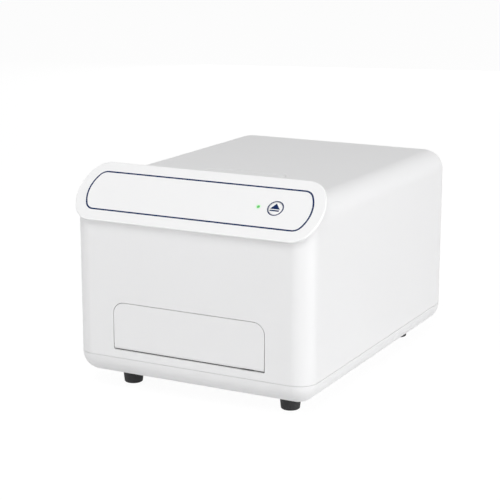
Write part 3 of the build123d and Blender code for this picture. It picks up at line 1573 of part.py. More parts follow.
with BuildPart() as panel_screws:
    for place in (*fan_holes, *panel_holes):
        shaft(place, fixing_shank, (fixing_front, panel_back), sides=SMALL_SIDES)
        shaft(place, panel_head[0], (panel_back, panel_back + panel_head[1]), sides=SMALL_SIDES)
    for place in inlet_holes:
        shaft(place, fixing_shank, (fixing_front, flange_back), sides=SMALL_SIDES)
        shaft(place, inlet_head[0], (flange_back, flange_back + inlet_head[1]), sides=SMALL_SIDES)
write(panel_screws, "panel_screws")
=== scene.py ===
"""Studio dressing of a bench-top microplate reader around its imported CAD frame."""

from __future__ import annotations

import json
import logging
import math
from dataclasses import dataclass
from enum import Enum
from typing import Iterable, Sequence

import bmesh
import bpy
from mathutils import Matrix, Vector

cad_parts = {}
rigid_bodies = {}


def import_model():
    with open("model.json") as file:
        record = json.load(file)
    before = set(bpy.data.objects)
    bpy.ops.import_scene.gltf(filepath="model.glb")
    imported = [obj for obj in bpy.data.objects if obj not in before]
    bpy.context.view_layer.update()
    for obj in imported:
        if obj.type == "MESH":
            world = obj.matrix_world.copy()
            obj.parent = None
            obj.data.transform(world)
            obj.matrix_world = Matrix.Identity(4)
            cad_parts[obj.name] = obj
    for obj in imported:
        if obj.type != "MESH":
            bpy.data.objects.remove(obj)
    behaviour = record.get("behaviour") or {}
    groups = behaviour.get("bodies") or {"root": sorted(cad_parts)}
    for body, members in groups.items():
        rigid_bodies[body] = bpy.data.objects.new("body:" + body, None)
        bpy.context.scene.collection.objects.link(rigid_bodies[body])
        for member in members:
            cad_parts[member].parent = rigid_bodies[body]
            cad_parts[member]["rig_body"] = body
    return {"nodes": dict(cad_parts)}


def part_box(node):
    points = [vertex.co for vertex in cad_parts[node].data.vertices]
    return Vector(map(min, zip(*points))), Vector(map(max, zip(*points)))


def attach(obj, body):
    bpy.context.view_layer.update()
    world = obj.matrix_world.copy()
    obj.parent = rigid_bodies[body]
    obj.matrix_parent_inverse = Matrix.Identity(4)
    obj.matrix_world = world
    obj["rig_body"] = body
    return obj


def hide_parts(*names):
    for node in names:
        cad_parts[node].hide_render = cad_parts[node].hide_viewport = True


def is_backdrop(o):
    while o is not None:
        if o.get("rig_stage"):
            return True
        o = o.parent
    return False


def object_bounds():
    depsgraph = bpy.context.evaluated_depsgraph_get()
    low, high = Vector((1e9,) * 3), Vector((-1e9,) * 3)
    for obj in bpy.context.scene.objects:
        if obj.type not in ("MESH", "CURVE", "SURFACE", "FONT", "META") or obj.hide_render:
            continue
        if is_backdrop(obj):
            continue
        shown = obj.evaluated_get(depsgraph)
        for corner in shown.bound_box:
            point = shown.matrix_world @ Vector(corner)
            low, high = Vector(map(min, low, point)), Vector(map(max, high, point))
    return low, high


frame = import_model()
CAD_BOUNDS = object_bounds()
MM = 0.001
WELD = 1e-6
SPECK = 1e-7
FULL_WEIGHT = 100
LOG = logging.getLogger("reader")

Point = tuple[float, float]
Triple = tuple[float, float, float]
Form = bmesh.types.BMesh
Socket = bpy.types.NodeSocket
Material = bpy.types.Material
Piece = bpy.types.Object
Box = tuple[Vector, Vector]


def middle(node: str) -> Vector:
    """Middle of a CAD node's box."""
    low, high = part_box(node)
    return (low + high) / 2


def shade(colour: Triple, factor: float = 1.0) -> tuple[float, float, float, float]:
    """A colour made lighter or darker, with full alpha."""
    return (*(min(1.0, part * factor) for part in colour), 1.0)


# ------------------------------------------------------------------ node trees
class Tree:
    """A node tree with one short way to add any node."""

    tree: bpy.types.NodeTree

    def node(
        self, kind: str, inputs: object = None, output: int | str = 0, **settings: object
    ) -> Socket:
        """Adds one node, sets it up, then fills its sockets.

        Args:
            kind: The node's type.
            inputs: Socket values or links, in order or by name.
            output: The output to give back.
            settings: Properties to set first.

        Returns:
            The output socket.
        """
        made = self.tree.nodes.new(kind)
        for key, value in settings.items():
            setattr(made, key, value)
        pairs = inputs.items() if isinstance(inputs, dict) else enumerate(inputs or [])
        for key, value in pairs:
            if isinstance(value, Value):
                value = value.socket
            if isinstance(value, Socket):
                self.tree.links.new(value, made.inputs[key])
            else:
                made.inputs[key].default_value = value
        return made.outputs[output]


class Value:
    """A shader socket that adds Math nodes when it is used in an expression."""

    def __init__(self, shader: Shader, socket: Socket) -> None:
        """Wraps a socket.

        Args:
            shader: The node tree that the socket belongs to.
            socket: The output socket that carries the number.
        """
        self.shader = shader
        self.socket = socket

    def _math(self, operation: str, *others: Value | float) -> Value:
        """Adds one Math node on this number and the others."""
        return self.shader.number("ShaderNodeMath", [self, *others], operation=operation)

    def __add__(self, other: Value | float) -> Value:
        """Sum."""
        return self._math("ADD", other)

    def __rsub__(self, other: float) -> Value:
        """Difference from a plain number."""
        return (self * -1.0) + other

    def __mul__(self, other: Value | float) -> Value:
        """Product."""
        return self._math("MULTIPLY", other)

    def maximum(self, other: Value) -> Value:
        """The larger of two numbers."""
        return self._math("MAXIMUM", other)

    def arctan2(self, other: Value) -> Value:
        """Angle of the point with this number over the other, in radians."""
        return self._math("ARCTAN2", other)

    def ramp(self, low: float, high: float) -> Value:
        """A straight ramp from 0 at low to 1 at high, held between them."""
        settings = {"interpolation_type": "LINEAR", "clamp": True}
        inputs = [self, low, high, 0.0, 1.0]
        return self.shader.number("ShaderNodeMapRange", inputs, **settings)


class Shader(Tree):
    """The node tree of a material or of the world."""

    def __init__(self, name: str, world: bool = False) -> None:
        """Starts an empty tree.

        Args:
            name: The material's or the world's name.
            world: Whether the tree is the world's.
        """
        self.owner = (bpy.data.worlds if world else bpy.data.materials).new(name)
        self.owner.use_nodes = True
        self.tree = self.owner.node_tree
        self.tree.nodes.clear()
        kind = "ShaderNodeOutputWorld" if world else "ShaderNodeOutputMaterial"
        self.output = self.tree.nodes.new(kind)

    def number(
        self, kind: str, inputs: object = None, output: int | str = 0, **settings: object
    ) -> Value:
        """Adds a node whose output is a number."""
        return Value(self, self.node(kind, inputs, output, **settings))

    def object_place(self) -> Socket:
        """Object coordinates."""
        return self.node("ShaderNodeTexCoord", output="Object")

    def mapped(self, **changes: Triple) -> Socket:
        """Object coordinates moved or scaled on each axis."""
        return self.node("ShaderNodeMapping", {"Vector": self.object_place(), **changes})

    def noise(self, scale: float, detail: float = 2.0, stretch: Triple | None = None) -> Value:
        """Noise between about 0 and 1.

        Args:
            scale: Cycles per metre.
            detail: Octaves.
            stretch: Scale of the coordinates on each axis, if not even.

        Returns:
            The noise as a number.
        """
        place = self.mapped(Scale=stretch) if stretch else self.object_place()
        inputs = {"Vector": place, "Scale": scale, "Detail": detail}
        return self.number("ShaderNodeTexNoise", inputs, "Fac")

    def blend(self, factor: Value, first: object, second: object) -> Socket:
        """Mixes two colours."""
        return self.node("ShaderNodeMix", {0: factor, 6: first, 7: second}, 2, data_type="RGBA")

    def tinted(self, factor: Value, colour: Triple, shades: Point) -> Socket:
        """A colour that runs between two shades of itself."""
        return self.blend(factor, *(shade(colour, part) for part in shades))

    def steps(self, factor: Value, stops: Sequence[tuple[float, Triple]]) -> Socket:
        """A colour that steps from stop to stop.

        Args:
            factor: Number between 0 and 1.
            stops: Where each colour starts, and the colour.

        Returns:
            The colour.
        """
        made = self.node("ShaderNodeValToRGB", [factor])
        ramp = made.node.color_ramp
        ramp.interpolation = "CONSTANT"
        while len(ramp.elements) < len(stops):
            ramp.elements.new(1.0)
        for element, (place, colour) in zip(ramp.elements, stops):
            element.position = place
            element.color = shade(colour)
        return made

    def bump(self, height: Value, distance: float) -> Socket:
        """Turns a height into a normal."""
        inputs = {"Strength": 1.0, "Distance": distance, "Height": height}
        return self.node("ShaderNodeBump", inputs)

    def seen(self) -> Value:
        """1 for camera, glossy and transmission rays, and 0 for the rest."""
        camera = self.number("ShaderNodeLightPath", output="Is Camera Ray")
        path = camera.socket.node
        glossy = Value(self, path.outputs["Is Glossy Ray"])
        through = Value(self, path.outputs["Is Transmission Ray"])
        return camera.maximum(glossy).maximum(through)

    def close(self, surface: Socket) -> bpy.types.ID:
        """Links the surface to the output and gives the material or the world."""
        self.tree.links.new(surface, self.output.inputs["Surface"])
        return self.owner

    def surface(self, **sockets: object) -> Material:
        """Adds the principled shader and finishes the material.

        Args:
            sockets: Values by socket name, with underscores for spaces.

        Returns:
            The finished material.
        """
        inputs = {key.replace("_", " "): value for key, value in sockets.items()}
        return self.close(self.node("ShaderNodeBsdfPrincipled", inputs))


# ------------------------------------------------------------------ finishes
@dataclass(frozen=True)
class Finish:
    """What every finish has: names, a colour, and how round its pieces' edges look.

    Edges sharper than the angle sharp, in degrees, stay sharp.
    """

    name: str
    slot: str | None
    colour: Triple
    roughness: float = 0.5
    sharp: float = 32.0

    def material(self) -> Material:
        """Builds the material."""
        raise NotImplementedError


class Lay(Enum):
    """Direction in which a surface was worked."""

    CAST = (1.0, 1.0, 1.0)
    ALONG_X = (0.04, 1.0, 1.0)
    ALONG_Y = (1.0, 0.04, 1.0)
    ALONG_Z = (1.0, 1.0, 0.04)


@dataclass(frozen=True)
class Moulding(Finish):
    """Moulded plastic: a fine grain over broad clouds of colour and gloss."""

    lay: Lay = Lay.CAST
    grain: float = 2600.0
    grain_detail: float = 3.0
    grain_swing: float = 0.08
    cloud: float = 9.0
    cloud_detail: float = 2.0
    cloud_swing: float = 0.06
    depth: float = 0.01 * MM
    shades: Point = (0.988, 1.012)
    metallic: float = 0.0
    coat: float = 0.0
    coat_roughness: float = 0.12

    def material(self) -> Material:
        """Builds the material."""
        shader = Shader(self.name)
        broad = shader.noise(self.cloud, self.cloud_detail)
        fine = shader.noise(self.grain, self.grain_detail, self.lay.value)
        lowest = self.roughness - (self.grain_swing + self.cloud_swing) / 2
        return shader.surface(
            Base_Color=self.tint(shader, broad, fine),
            Roughness=fine * self.grain_swing + broad * self.cloud_swing + lowest,
            Normal=shader.bump(fine, self.depth),
            Metallic=self.metallic,
            Coat_Weight=self.coat,
            Coat_Roughness=self.coat_roughness,
        )

    def tint(self, shader: Shader, broad: Value, fine: Value) -> Socket:
        """The colour, which follows the clouds."""
        return shader.tinted(broad, self.colour, self.shades)


@dataclass(frozen=True)
class GlowPaintedMoulding(Moulding):
    """Glossier moulded plastic with the faint glow of a light set into it painted into its colour.
    """

    roughness: float = 0.34
    grain: float = 1800.0
    depth: float = 0.004 * MM
    shades: Point = (0.994, 1.006)
    coat: float = 0.2
    # Painted light: the glow colour and its share are mixed into the base colour round the light,
    # not emitted.
    glow: Triple = (0.62, 1.0, 0.62)
    glow_share: float = 0.8
    centre: Triple = (0.0, 0.0, 0.0)
    reach: float = 3.6 * MM

    def tint(self, shader: Shader, broad: Value, fine: Value) -> Socket:
        """The colour, with a painted glow of the light faded in round it."""
        inputs = [shader.object_place(), self.centre]
        away = shader.number("ShaderNodeVectorMath", inputs, "Value", operation="DISTANCE")
        # Painted glow mask: 1 at the light, fading to 0 at the reach.
        painted_glow_mask = 1.0 - away.ramp(self.reach / 2, self.reach)
        body = super().tint(shader, broad, fine)
        return shader.blend(painted_glow_mask * self.glow_share, body, shade(self.glow))


@dataclass(frozen=True)
class Coating(Moulding):
    """Powder coat with an orange-peel skin."""

    grain: float = 900.0
    grain_detail: float = 2.0
    grain_swing: float = 0.1
    cloud: float = 12.0
    cloud_swing: float = 0.0
    depth: float = 0.04 * MM
    shades: Point = (0.97, 1.03)


@dataclass(frozen=True)
class Metal(Moulding):
    """Bare, plated or anodised metal with a worked grain."""

    roughness: float = 0.3
    grain: float = 1800.0
    grain_detail: float = 4.0
    grain_swing: float = 0.14
    cloud: float = 35.0
    cloud_swing: float = 0.08
    depth: float = 0.008 * MM
    shades: Point = (0.9, 1.06)
    metallic: float = 1.0

    def tint(self, shader: Shader, broad: Value, fine: Value) -> Socket:
        """The colour, which follows the grain."""
        return shader.tinted(fine, self.colour, self.shades)


@dataclass(frozen=True)
class Rubber(Moulding):
    """Matt rubber with a dusty bloom."""

    roughness: float = 0.75
    grain: float = 3200.0
    grain_detail: float = 2.0
    grain_swing: float = 0.0
    cloud: float = 140.0
    cloud_detail: float = 4.0
    cloud_swing: float = 0.12
    depth: float = 0.02 * MM
    shades: Point = (1.0, 1.7)
    bloom: Point = (0.35, 0.8)

    def tint(self, shader: Shader, broad: Value, fine: Value) -> Socket:
        """The colour, dustier where the bloom is thick."""
        return shader.tinted(broad.ramp(*self.bloom), self.colour, self.shades)


@dataclass(frozen=True)
class Clouded(Finish):
    """A smooth surface whose colour and gloss follow one noise."""

    haze: float = 500.0
    haze_detail: float = 2.0
    haze_swing: float = 0.1
    shades: Point = (1.0, 1.0)

    def material(self) -> Material:
        """Builds the material."""
        shader = Shader(self.name)
        haze = shader.noise(self.haze, self.haze_detail)
        colour = self.tint(shader, haze)
        rough = haze * self.haze_swing + self.roughness
        return shader.surface(Base_Color=colour, Roughness=rough, **self.extras(colour))

    def tint(self, shader: Shader, haze: Value) -> Socket:
        """The colour, which follows the haze."""
        return shader.tinted(haze, self.colour, self.shades)

    def extras(self, colour: Socket) -> dict[str, object]:
        """Values of the other sockets, given the colour."""
        raise NotImplementedError


@dataclass(frozen=True)
class Glass(Clouded):
    """Clear or tinted optical glass with a coating bloom."""

    roughness: float = 0.03
    haze: float = 60.0
    haze_swing: float = 0.03
    shades: Point = (1.0, 0.9)
    transmission: float = 0.85
    index: float = 1.52

    def extras(self, colour: Socket) -> dict[str, object]:
        """How clear the glass is."""
        return {"Transmission_Weight": self.transmission, "IOR": self.index}


@dataclass(frozen=True)
class FilterGlass(Glass):
    """Interference filters, each place round the hub with its own tint."""

    roughness: float = 0.04
    haze: float = 90.0
    haze_swing: float = 0.04
    transmission: float = 0.6
    index: float = 1.6
    hub: Triple = (0.0, 0.0, 0.0)
    tints: tuple[Triple, ...] = ()

    def tint(self, shader: Shader, haze: Value) -> Socket:
        """The tint of the place round the hub."""
        place = shader.mapped(Location=tuple(-part for part in self.hub))
        across = shader.number("ShaderNodeSeparateXYZ", [place], "X")
        upward = Value(shader, across.socket.node.outputs["Z"])
        turn = upward.arctan2(across) * (0.5 / math.pi) + 0.5
        count = len(self.tints)
        edges = [(0.0, 0)] + [((i - 0.5) / count, i % count) for i in range(1, count + 1)]
        return shader.steps(turn, [(edge, self.tints[which]) for edge, which in edges])


@dataclass(frozen=True)
class Ink(Clouded):
    """Screen-printed ink with slightly uneven cover."""

    roughness: float = 0.55
    haze: float = 700.0
    haze_detail: float = 3.0
    shades: Point = (0.85, 1.15)
    specular: float = 0.12

    def extras(self, colour: Socket) -> dict[str, object]:
        """How little the ink shines."""
        return {"Specular_IOR_Level": self.specular}


@dataclass(frozen=True)
class Lit(Clouded):
    """Moulded light pipe that glows from within."""

    roughness: float = 0.2
    shades: Point = (0.8, 1.0)
    strength: float = 0.45

    def extras(self, colour: Socket) -> dict[str, object]:
        """The glow, in the pipe's own colour."""
        return {"Emission_Color": colour, "Emission_Strength": self.strength}


@dataclass(frozen=True)
class Board(Finish):
    """Circuit board: solder mask over a pattern of tracks."""

    roughness: float = 0.28
    track: Triple = (0.03, 0.17, 0.07)
    pitch: float = 240.0
    unevenness: float = 0.6
    edge: Point = (0.3, 0.36)
    relief: float = 0.03 * MM
    dust: float = 400.0
    dust_swing: float = 0.15

    def material(self) -> Material:
        """Builds the material."""
        shader = Shader(self.name)
        settings = {"feature": "F1", "distance": "CHEBYCHEV"}
        inputs = {"Vector": shader.object_place(), "Scale": self.pitch}
        inputs["Randomness"] = self.unevenness
        lines = shader.number("ShaderNodeTexVoronoi", inputs, **settings).ramp(*self.edge)
        return shader.surface(
            Base_Color=shader.blend(lines, shade(self.colour), shade(self.track)),
            Roughness=shader.noise(self.dust, 3.0) * self.dust_swing + self.roughness,
            Normal=shader.bump(lines, self.relief),
        )


CASE = (0.85, 0.85, 0.855)
MOTTLED = (0.95, 1.05)
WHITE = Moulding("white_moulding", "casing_plastic", CASE, 0.48, sharp=36.0)
TRAY_WHITE = Moulding("tray_moulding", "tray_plastic", CASE, 0.48, sharp=36.0)
DOOR_WHITE = Moulding("door_moulding", "door_plastic", CASE, 0.46, sharp=40.0)
BLACK = Moulding(
    "black_moulding",
    "black_plastic",
    (0.018, 0.018, 0.02),
    grain=1800.0,
    depth=0.02 * MM,
    shades=MOTTLED,
)
CARRIER = Moulding(
    "carrier_moulding",
    "carrier_plastic",
    (0.03, 0.031, 0.034),
    0.55,
    grain=1500.0,
    depth=0.03 * MM,
    shades=MOTTLED,
)
LEVER = Moulding("lever_moulding", "door_plastic", (0.35, 0.36, 0.38), 0.45, grain=1500.0)
CHIP = Moulding(
    "chip_moulding", "board", (0.022, 0.022, 0.024), 0.45, grain=2400.0, shades=MOTTLED
)
SOCKET = Moulding("socket_moulding", "board", (0.62, 0.60, 0.54), 0.45, grain=2200.0)
SLEEVE = Moulding(
    "capacitor_sleeve",
    "board",
    (0.02, 0.03, 0.07),
    0.3,
    grain=1200.0,
    depth=0.006 * MM,
    shades=(0.94, 1.06),
)
TAPE = Moulding(
    "winding_tape",
    "board",
    (0.62, 0.42, 0.06),
    0.42,
    grain=900.0,
    depth=0.03 * MM,
    shades=(0.92, 1.08),
)
FOOT = Rubber("foot_rubber", "foot_rubber", (0.016, 0.016, 0.017), sharp=36.0)
BELT = Rubber("belt_rubber", "belt_rubber", (0.012, 0.012, 0.012), 0.6)
SHEATH = Rubber("guide_sheath", "guide_sheath", (0.02, 0.02, 0.022), 0.5)
ALUMINIUM = Metal(
    "machined_aluminium", "machined_aluminium", (0.72, 0.73, 0.75), 0.34, lay=Lay.ALONG_Y
)
ANODISED = Metal(
    "black_anodised", "black_aluminium", (0.03, 0.03, 0.033), 0.45, lay=Lay.ALONG_X
)
GROUND = Metal(
    "ground_steel", "ground_steel", (0.62, 0.63, 0.65), 0.16, lay=Lay.ALONG_Y, grain=900.0
)
BRASS = Metal("turned_brass", "brass", (0.72, 0.52, 0.24), lay=Lay.ALONG_Z)
ZINC = Metal("zinc_plate", "zinc_steel", (0.55, 0.56, 0.58), 0.36)
TIN = Metal("tinned_ends", "board", (0.66, 0.67, 0.68))
MOTOR = Coating("motor_black", "motor_metal", (0.02, 0.02, 0.022), 0.4)
PANEL = Coating("panel_grey", "panel_metal", (0.36, 0.37, 0.39))
BOARD = Board("solder_mask", "board", (0.012, 0.09, 0.035))
CLEAR = Glass("optical_glass", "clear_glass", (0.9, 0.95, 0.97))
QUARTZ = Glass("quartz", "lamp_glass", (0.95, 0.94, 0.9))
NAVY = Ink("navy_ink", None, (0.003, 0.018, 0.09))
GREEN = Lit("green_light", "light_pipe", (0.08, 0.46, 0.09), sharp=50.0)
FILTERS = FilterGlass(
    "filter_glass",
    "filter_glass",
    (0.65, 0.05, 0.06),
    hub=tuple(middle("filter_wheel")),
    tints=(
        (0.20, 0.08, 0.55),
        (0.10, 0.16, 0.75),
        (0.05, 0.42, 0.80),
        (0.05, 0.60, 0.45),
        (0.20, 0.65, 0.12),
        (0.75, 0.60, 0.06),
        (0.80, 0.25, 0.05),
        (0.65, 0.05, 0.06),
    ),
)


# ------------------------------------------------------------------ mesh helpers
def rounded(form: Form, angle: float = 30.0) -> Form:
    """Marks edges below an angle in degrees as smooth and the rest as sharp."""
    limit = math.radians(angle)
    for edge in form.edges:
        edge.smooth = len(edge.link_faces) == 2 and edge.calc_face_angle(0.0) < limit
    for face in form.faces:
        face.smooth = True
    return form


def closed_plate(low: Sequence[Vector], high: Sequence[Vector]) -> Form:
    """Makes a closed plate between two loops of points.

    Args:
        low: The lower loop, anticlockwise seen from above.
        high: The upper loop, with as many points.

    Returns:
        The plate.
    """
    form = bmesh.new()
    bottom = [form.verts.new(place) for place in low]
    top = [form.verts.new(place) for place in high]
    for i in range(len(bottom)):
        j = (i + 1) % len(bottom)
        form.faces.new((bottom[i], bottom[j], top[j], top[i]))
    form.faces.new(top)
    form.faces.new(bottom[::-1])
    return form


def closed_ring(*loops: Sequence[Vector]) -> Form:
    """Makes a closed ring whose surface runs from loop to loop and back to the first.

    Args:
        loops: Loops round the ring, from the low outer one inwards and up.

    Returns:
        The ring.
    """
    form = bmesh.new()
    rings = [[form.verts.new(place) for place in loop] for loop in loops]
    count = len(rings[0])
    for first, second in zip(rings, rings[1:] + rings[:1]):
        for i in range(count):
            j = (i + 1) % count
            form.faces.new((first[j], first[i], second[i], second[j]))
    return form


def circle(centre: Point, radius: float, steps: int = 64) -> list[Point]:
    """Points round a circle, anticlockwise."""
    angles = [2 * math.pi * i / steps for i in range(steps)]
    return [(centre[0] + radius * math.cos(a), centre[1] + radius * math.sin(a)) for a in angles]


def islands(node: str) -> list[Box]:
    """Lowest and highest corners of each separate solid of a CAD node."""
    form = bmesh.new()
    form.from_mesh(frame["nodes"][node].data)
    bmesh.ops.remove_doubles(form, verts=form.verts, dist=WELD)
    left = set(form.verts)
    boxes = []
    while left:
        found = [left.pop()]
        for vert in found:
            fresh = {link.other_vert(vert) for link in vert.link_edges} & left
            left -= fresh
            found += fresh
        axes = list(zip(*(vert.co for vert in found)))
        boxes.append((Vector(map(min, axes)), Vector(map(max, axes))))
    form.free()
    return sorted(boxes, key=lambda box: tuple(box[0]))


@dataclass(frozen=True)
class Patch:
    """Part of a CAD node's surface with a finish of its own, in a box of millimetres."""

    node: str
    finish: Finish
    low: Triple
    high: Triple

    def holds(self, place: Vector) -> bool:
        """Whether a point lies in the box."""
        return all(a * MM <= c <= b * MM for a, c, b in zip(self.low, place, self.high))


# ------------------------------------------------------------------ the workshop
class Workshop:
    """Keeps built materials and turns meshes into pieces that ride on bodies."""

    def __init__(self) -> None:
        """Starts with no materials."""
        self.built: dict[str, Material] = {}

    def material(self, finish: Finish) -> Material:
        """A finish's material, built once."""
        if finish.name not in self.built:
            self.built[finish.name] = finish.material()
        return self.built[finish.name]

    def body(self, node: str) -> str:
        """The body that a CAD node rides on."""
        return frame["nodes"][node]["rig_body"]

    def raw(self, name: str, form: Form, finish: Finish) -> Piece:
        """Makes an object from a mesh under construction."""
        mesh = bpy.data.meshes.new(name)
        form.to_mesh(mesh)
        form.free()
        mesh.materials.append(self.material(finish))
        made = bpy.data.objects.new(name, mesh)
        bpy.context.scene.collection.objects.link(made)
        return made

    def land(self, piece: Piece, body: str) -> Piece:
        """Sets a finished object on its body.

        Args:
            piece: The object.
            body: The body that it rides on.

        Returns:
            The same object.
        """
        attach(piece, body)
        LOG.info("built %s on %s with %d faces", piece.name, body, len(piece.data.polygons))
        return piece

    def piece(self, name: str, form: Form, finish: Finish, body: str) -> Piece:
        """Makes a piece from a mesh under construction and sets it on its body."""
        return self.land(self.raw(name, form, finish), body)

    def smooth(self, finish: Finish, node: str) -> Piece:
        """Replaces a CAD node by a merged copy with smooth round faces."""
        form = bmesh.new()
        form.from_mesh(frame["nodes"][node].data)
        bmesh.ops.remove_doubles(form, verts=form.verts, dist=WELD)
        bmesh.ops.dissolve_degenerate(form, edges=form.edges, dist=SPECK)
        piece = self.raw(f"{node}_finish", rounded(form, finish.sharp), finish)
        weighted = piece.modifiers.new("weighted", "WEIGHTED_NORMAL")
        weighted.keep_sharp = True
        weighted.weight = FULL_WEIGHT
        self.settle(piece)
        self.land(piece, self.body(node))
        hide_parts(node)
        return piece

    def paint(self, piece: Piece, patch: Patch) -> None:
        """Gives the faces whose centres lie in a patch the patch's finish."""
        slots = piece.data.materials
        material = self.material(patch.finish)
        if slots.find(material.name) < 0:
            slots.append(material)
        for face in piece.data.polygons:
            if patch.holds(face.center):
                face.material_index = slots.find(material.name)

    def settle(self, piece: Piece) -> None:
        """Applies a piece's modifiers to its mesh."""
        graph = bpy.context.evaluated_depsgraph_get()
        done = bpy.data.meshes.new_from_object(
            piece.evaluated_get(graph), preserve_all_data_layers=True, depsgraph=graph
        )
        piece.modifiers.clear()
        old, piece.data = piece.data, done
        done.name = piece.name
        bpy.data.meshes.remove(old)


# ------------------------------------------------------------------ geometry nodes
class NodeSystem(Tree):
    """A Geometry Nodes tree with named inputs, applied to a base mesh."""

    sharp = 34.0

    def __init__(self, name: str) -> None:
        """Starts a tree that takes and gives a geometry."""
        self.tree = bpy.data.node_groups.new(name, "GeometryNodeTree")
        for way in ("INPUT", "OUTPUT"):
            kind = "NodeSocketGeometry"
            self.tree.interface.new_socket("Geometry", in_out=way, socket_type=kind)
        self.source = self.tree.nodes.new("NodeGroupInput")
        self.result = self.tree.nodes.new("NodeGroupOutput")
        self.names: dict[str, str] = {}

    def input(self, label: str, kind: str, default: object = None) -> Socket:
        """Adds a named input.

        Args:
            label: The input's name.
            kind: Its socket type, such as Int, Float, Vector or Material.
            default: Its default value.

        Returns:
            The socket to link from.
        """
        kind = f"NodeSocket{kind}"
        made = self.tree.interface.new_socket(label, in_out="INPUT", socket_type=kind)
        if default is not None:
            made.default_value = default
        self.names[label] = made.identifier
        return self.source.outputs[label]

    def math(self, operation: str, first: Socket, second: Socket | float) -> Socket:
        """Result of one Math node."""
        return self.node("ShaderNodeMath", [first, second], operation=operation)

    def raised(self, geometry: Socket, height: Socket | float) -> Socket:
        """Geometry moved up by a height."""
        shift = self.node("ShaderNodeCombineXYZ", {"Z": height})
        inputs = {"Geometry": geometry, "Translation": shift}
        return self.node("GeometryNodeTransform", inputs)

    def joined(self, kind: str, socket: str, *parts: Socket) -> Socket:
        """Several geometries fed into one socket of a node."""
        made = self.node(kind)
        for part in parts:
            self.tree.links.new(part, made.node.inputs[socket])
        return made

    def finish(self, geometry: Socket, material: Socket) -> None:
        """Makes the instances real, sets their material and ends the tree."""
        real = self.node("GeometryNodeRealizeInstances", [geometry])
        painted = self.node("GeometryNodeSetMaterial", {"Geometry": real, "Material": material})
        self.tree.links.new(painted, self.result.inputs[0])

    def build(
        self,
        name: str,
        shop: Workshop,
        finish: Finish,
        body: str,
        places: Iterable[Vector] = (),
        **values: object,
    ) -> Piece:
        """Runs the tree on a mesh of points and keeps the result as a plain piece.

        Args:
            name: The piece's name.
            shop: The workshop that keeps the materials.
            finish: The piece's finish.
            body: The body that the piece rides on.
            places: The points that the tree is given.
            values: Values by input name, with underscores for spaces.

        Returns:
            The new piece.
        """
        base = bmesh.new()
        for place in places:
            base.verts.new(place)
        piece = shop.raw(name, base, finish)
        system = piece.modifiers.new(name, "NODES")
        system.node_group = self.tree
        system[self.names["Material"]] = shop.material(finish)
        for label, value in values.items():
            system[self.names[label.replace("_", " ")]] = value
        shop.settle(piece)
        form = bmesh.new()
        form.from_mesh(piece.data)
        rounded(form, self.sharp).to_mesh(piece.data)
        form.free()
        return shop.land(piece, body)


@dataclass(frozen=True)
class ScrewShape:
    """A cap screw's sizes, and its proportions as shares of them."""

    radius: float
    head: float
    length: float
    crown: float = 0.86
    socket: float = 0.5
    depth: float = 0.55
    shank: float = 0.55

    def values(self) -> dict[str, float]:
        """The screw tree's inputs."""
        return {
            "Head_Radius": self.radius,
            "Head_Height": self.head,
            "Crown_Radius": self.radius * self.crown,
            "Socket_Radius": self.radius * self.socket,
            "Socket_Depth": self.head * self.depth,
            "Shank_Radius": self.radius * self.shank,
            "Shank_Length": self.length,
        }


class ScrewTree(NodeSystem):
    """Cap screws with a hexagon socket, one on each point."""

    straight = 0.7
    head_sides = 32
    socket_sides = 6
    shank_sides = 16

    def __init__(self) -> None:
        """Builds the tree."""
        super().__init__("cap_screws")
        usual = ScrewShape(3.4 * MM, 2.6 * MM, 8.0 * MM).values()
        head, height, crown, socket, depth, shank, length = (
            self.input(label.replace("_", " "), "Float", value) for label, value in usual.items()
        )
        turn = self.input("Turn", "Rotation")
        material = self.input("Material", "Material")
        rim = self.math("MULTIPLY", height, self.straight)
        body = self._drum(self.head_sides, head, rim)
        inputs = {"Vertices": self.head_sides, "Radius Top": crown, "Radius Bottom": head}
        inputs["Depth"] = self.math("SUBTRACT", height, rim)
        crest = self.raised(self.node("GeometryNodeMeshCone", inputs), rim)
        body = self.raised(body, self.math("MULTIPLY", rim, 0.5))
        whole = self.joined("GeometryNodeMeshBoolean", "Mesh 2", body, crest)
        whole.node.operation = "UNION"
        hexagon = self._drum(self.socket_sides, socket, self.math("MULTIPLY", depth, 2.0))
        inputs = {"Mesh 1": whole, "Mesh 2": self.raised(hexagon, height)}
        cut = self.node("GeometryNodeMeshBoolean", inputs, operation="DIFFERENCE")
        stem = self._drum(self.shank_sides, shank, length)
        sunk = self.raised(stem, self.math("MULTIPLY", length, -0.5))
        screw = self.joined("GeometryNodeJoinGeometry", "Geometry", cut, sunk)
        points = self.source.outputs["Geometry"]
        inputs = {"Points": points, "Instance": screw, "Rotation": turn}
        self.finish(self.node("GeometryNodeInstanceOnPoints", inputs), material)

    def _drum(self, sides: int, radius: Socket, height: Socket) -> Socket:
        """An upright prism about the middle."""
        inputs = {"Vertices": sides, "Radius": radius, "Depth": height}
        return self.node("GeometryNodeMeshCylinder", inputs)


class RowTree(NodeSystem):
    """Equal blocks in a straight row."""

    def __init__(self) -> None:
        """Builds the tree."""
        super().__init__("block_row")
        count = self.input("Count", "Int", 10)
        start, step, size = (self.input(label, "Vector") for label in ("Start", "Step", "Size"))
        material = self.input("Material", "Material")
        inputs = {"Count": count, "Start Location": start, "Offset": step}
        line = self.node("GeometryNodeMeshLine", inputs, mode="OFFSET")
        block = self.node("GeometryNodeMeshCube", {"Size": size})
        inputs = {"Points": line, "Instance": block}
        self.finish(self.node("GeometryNodeInstanceOnPoints", inputs), material)


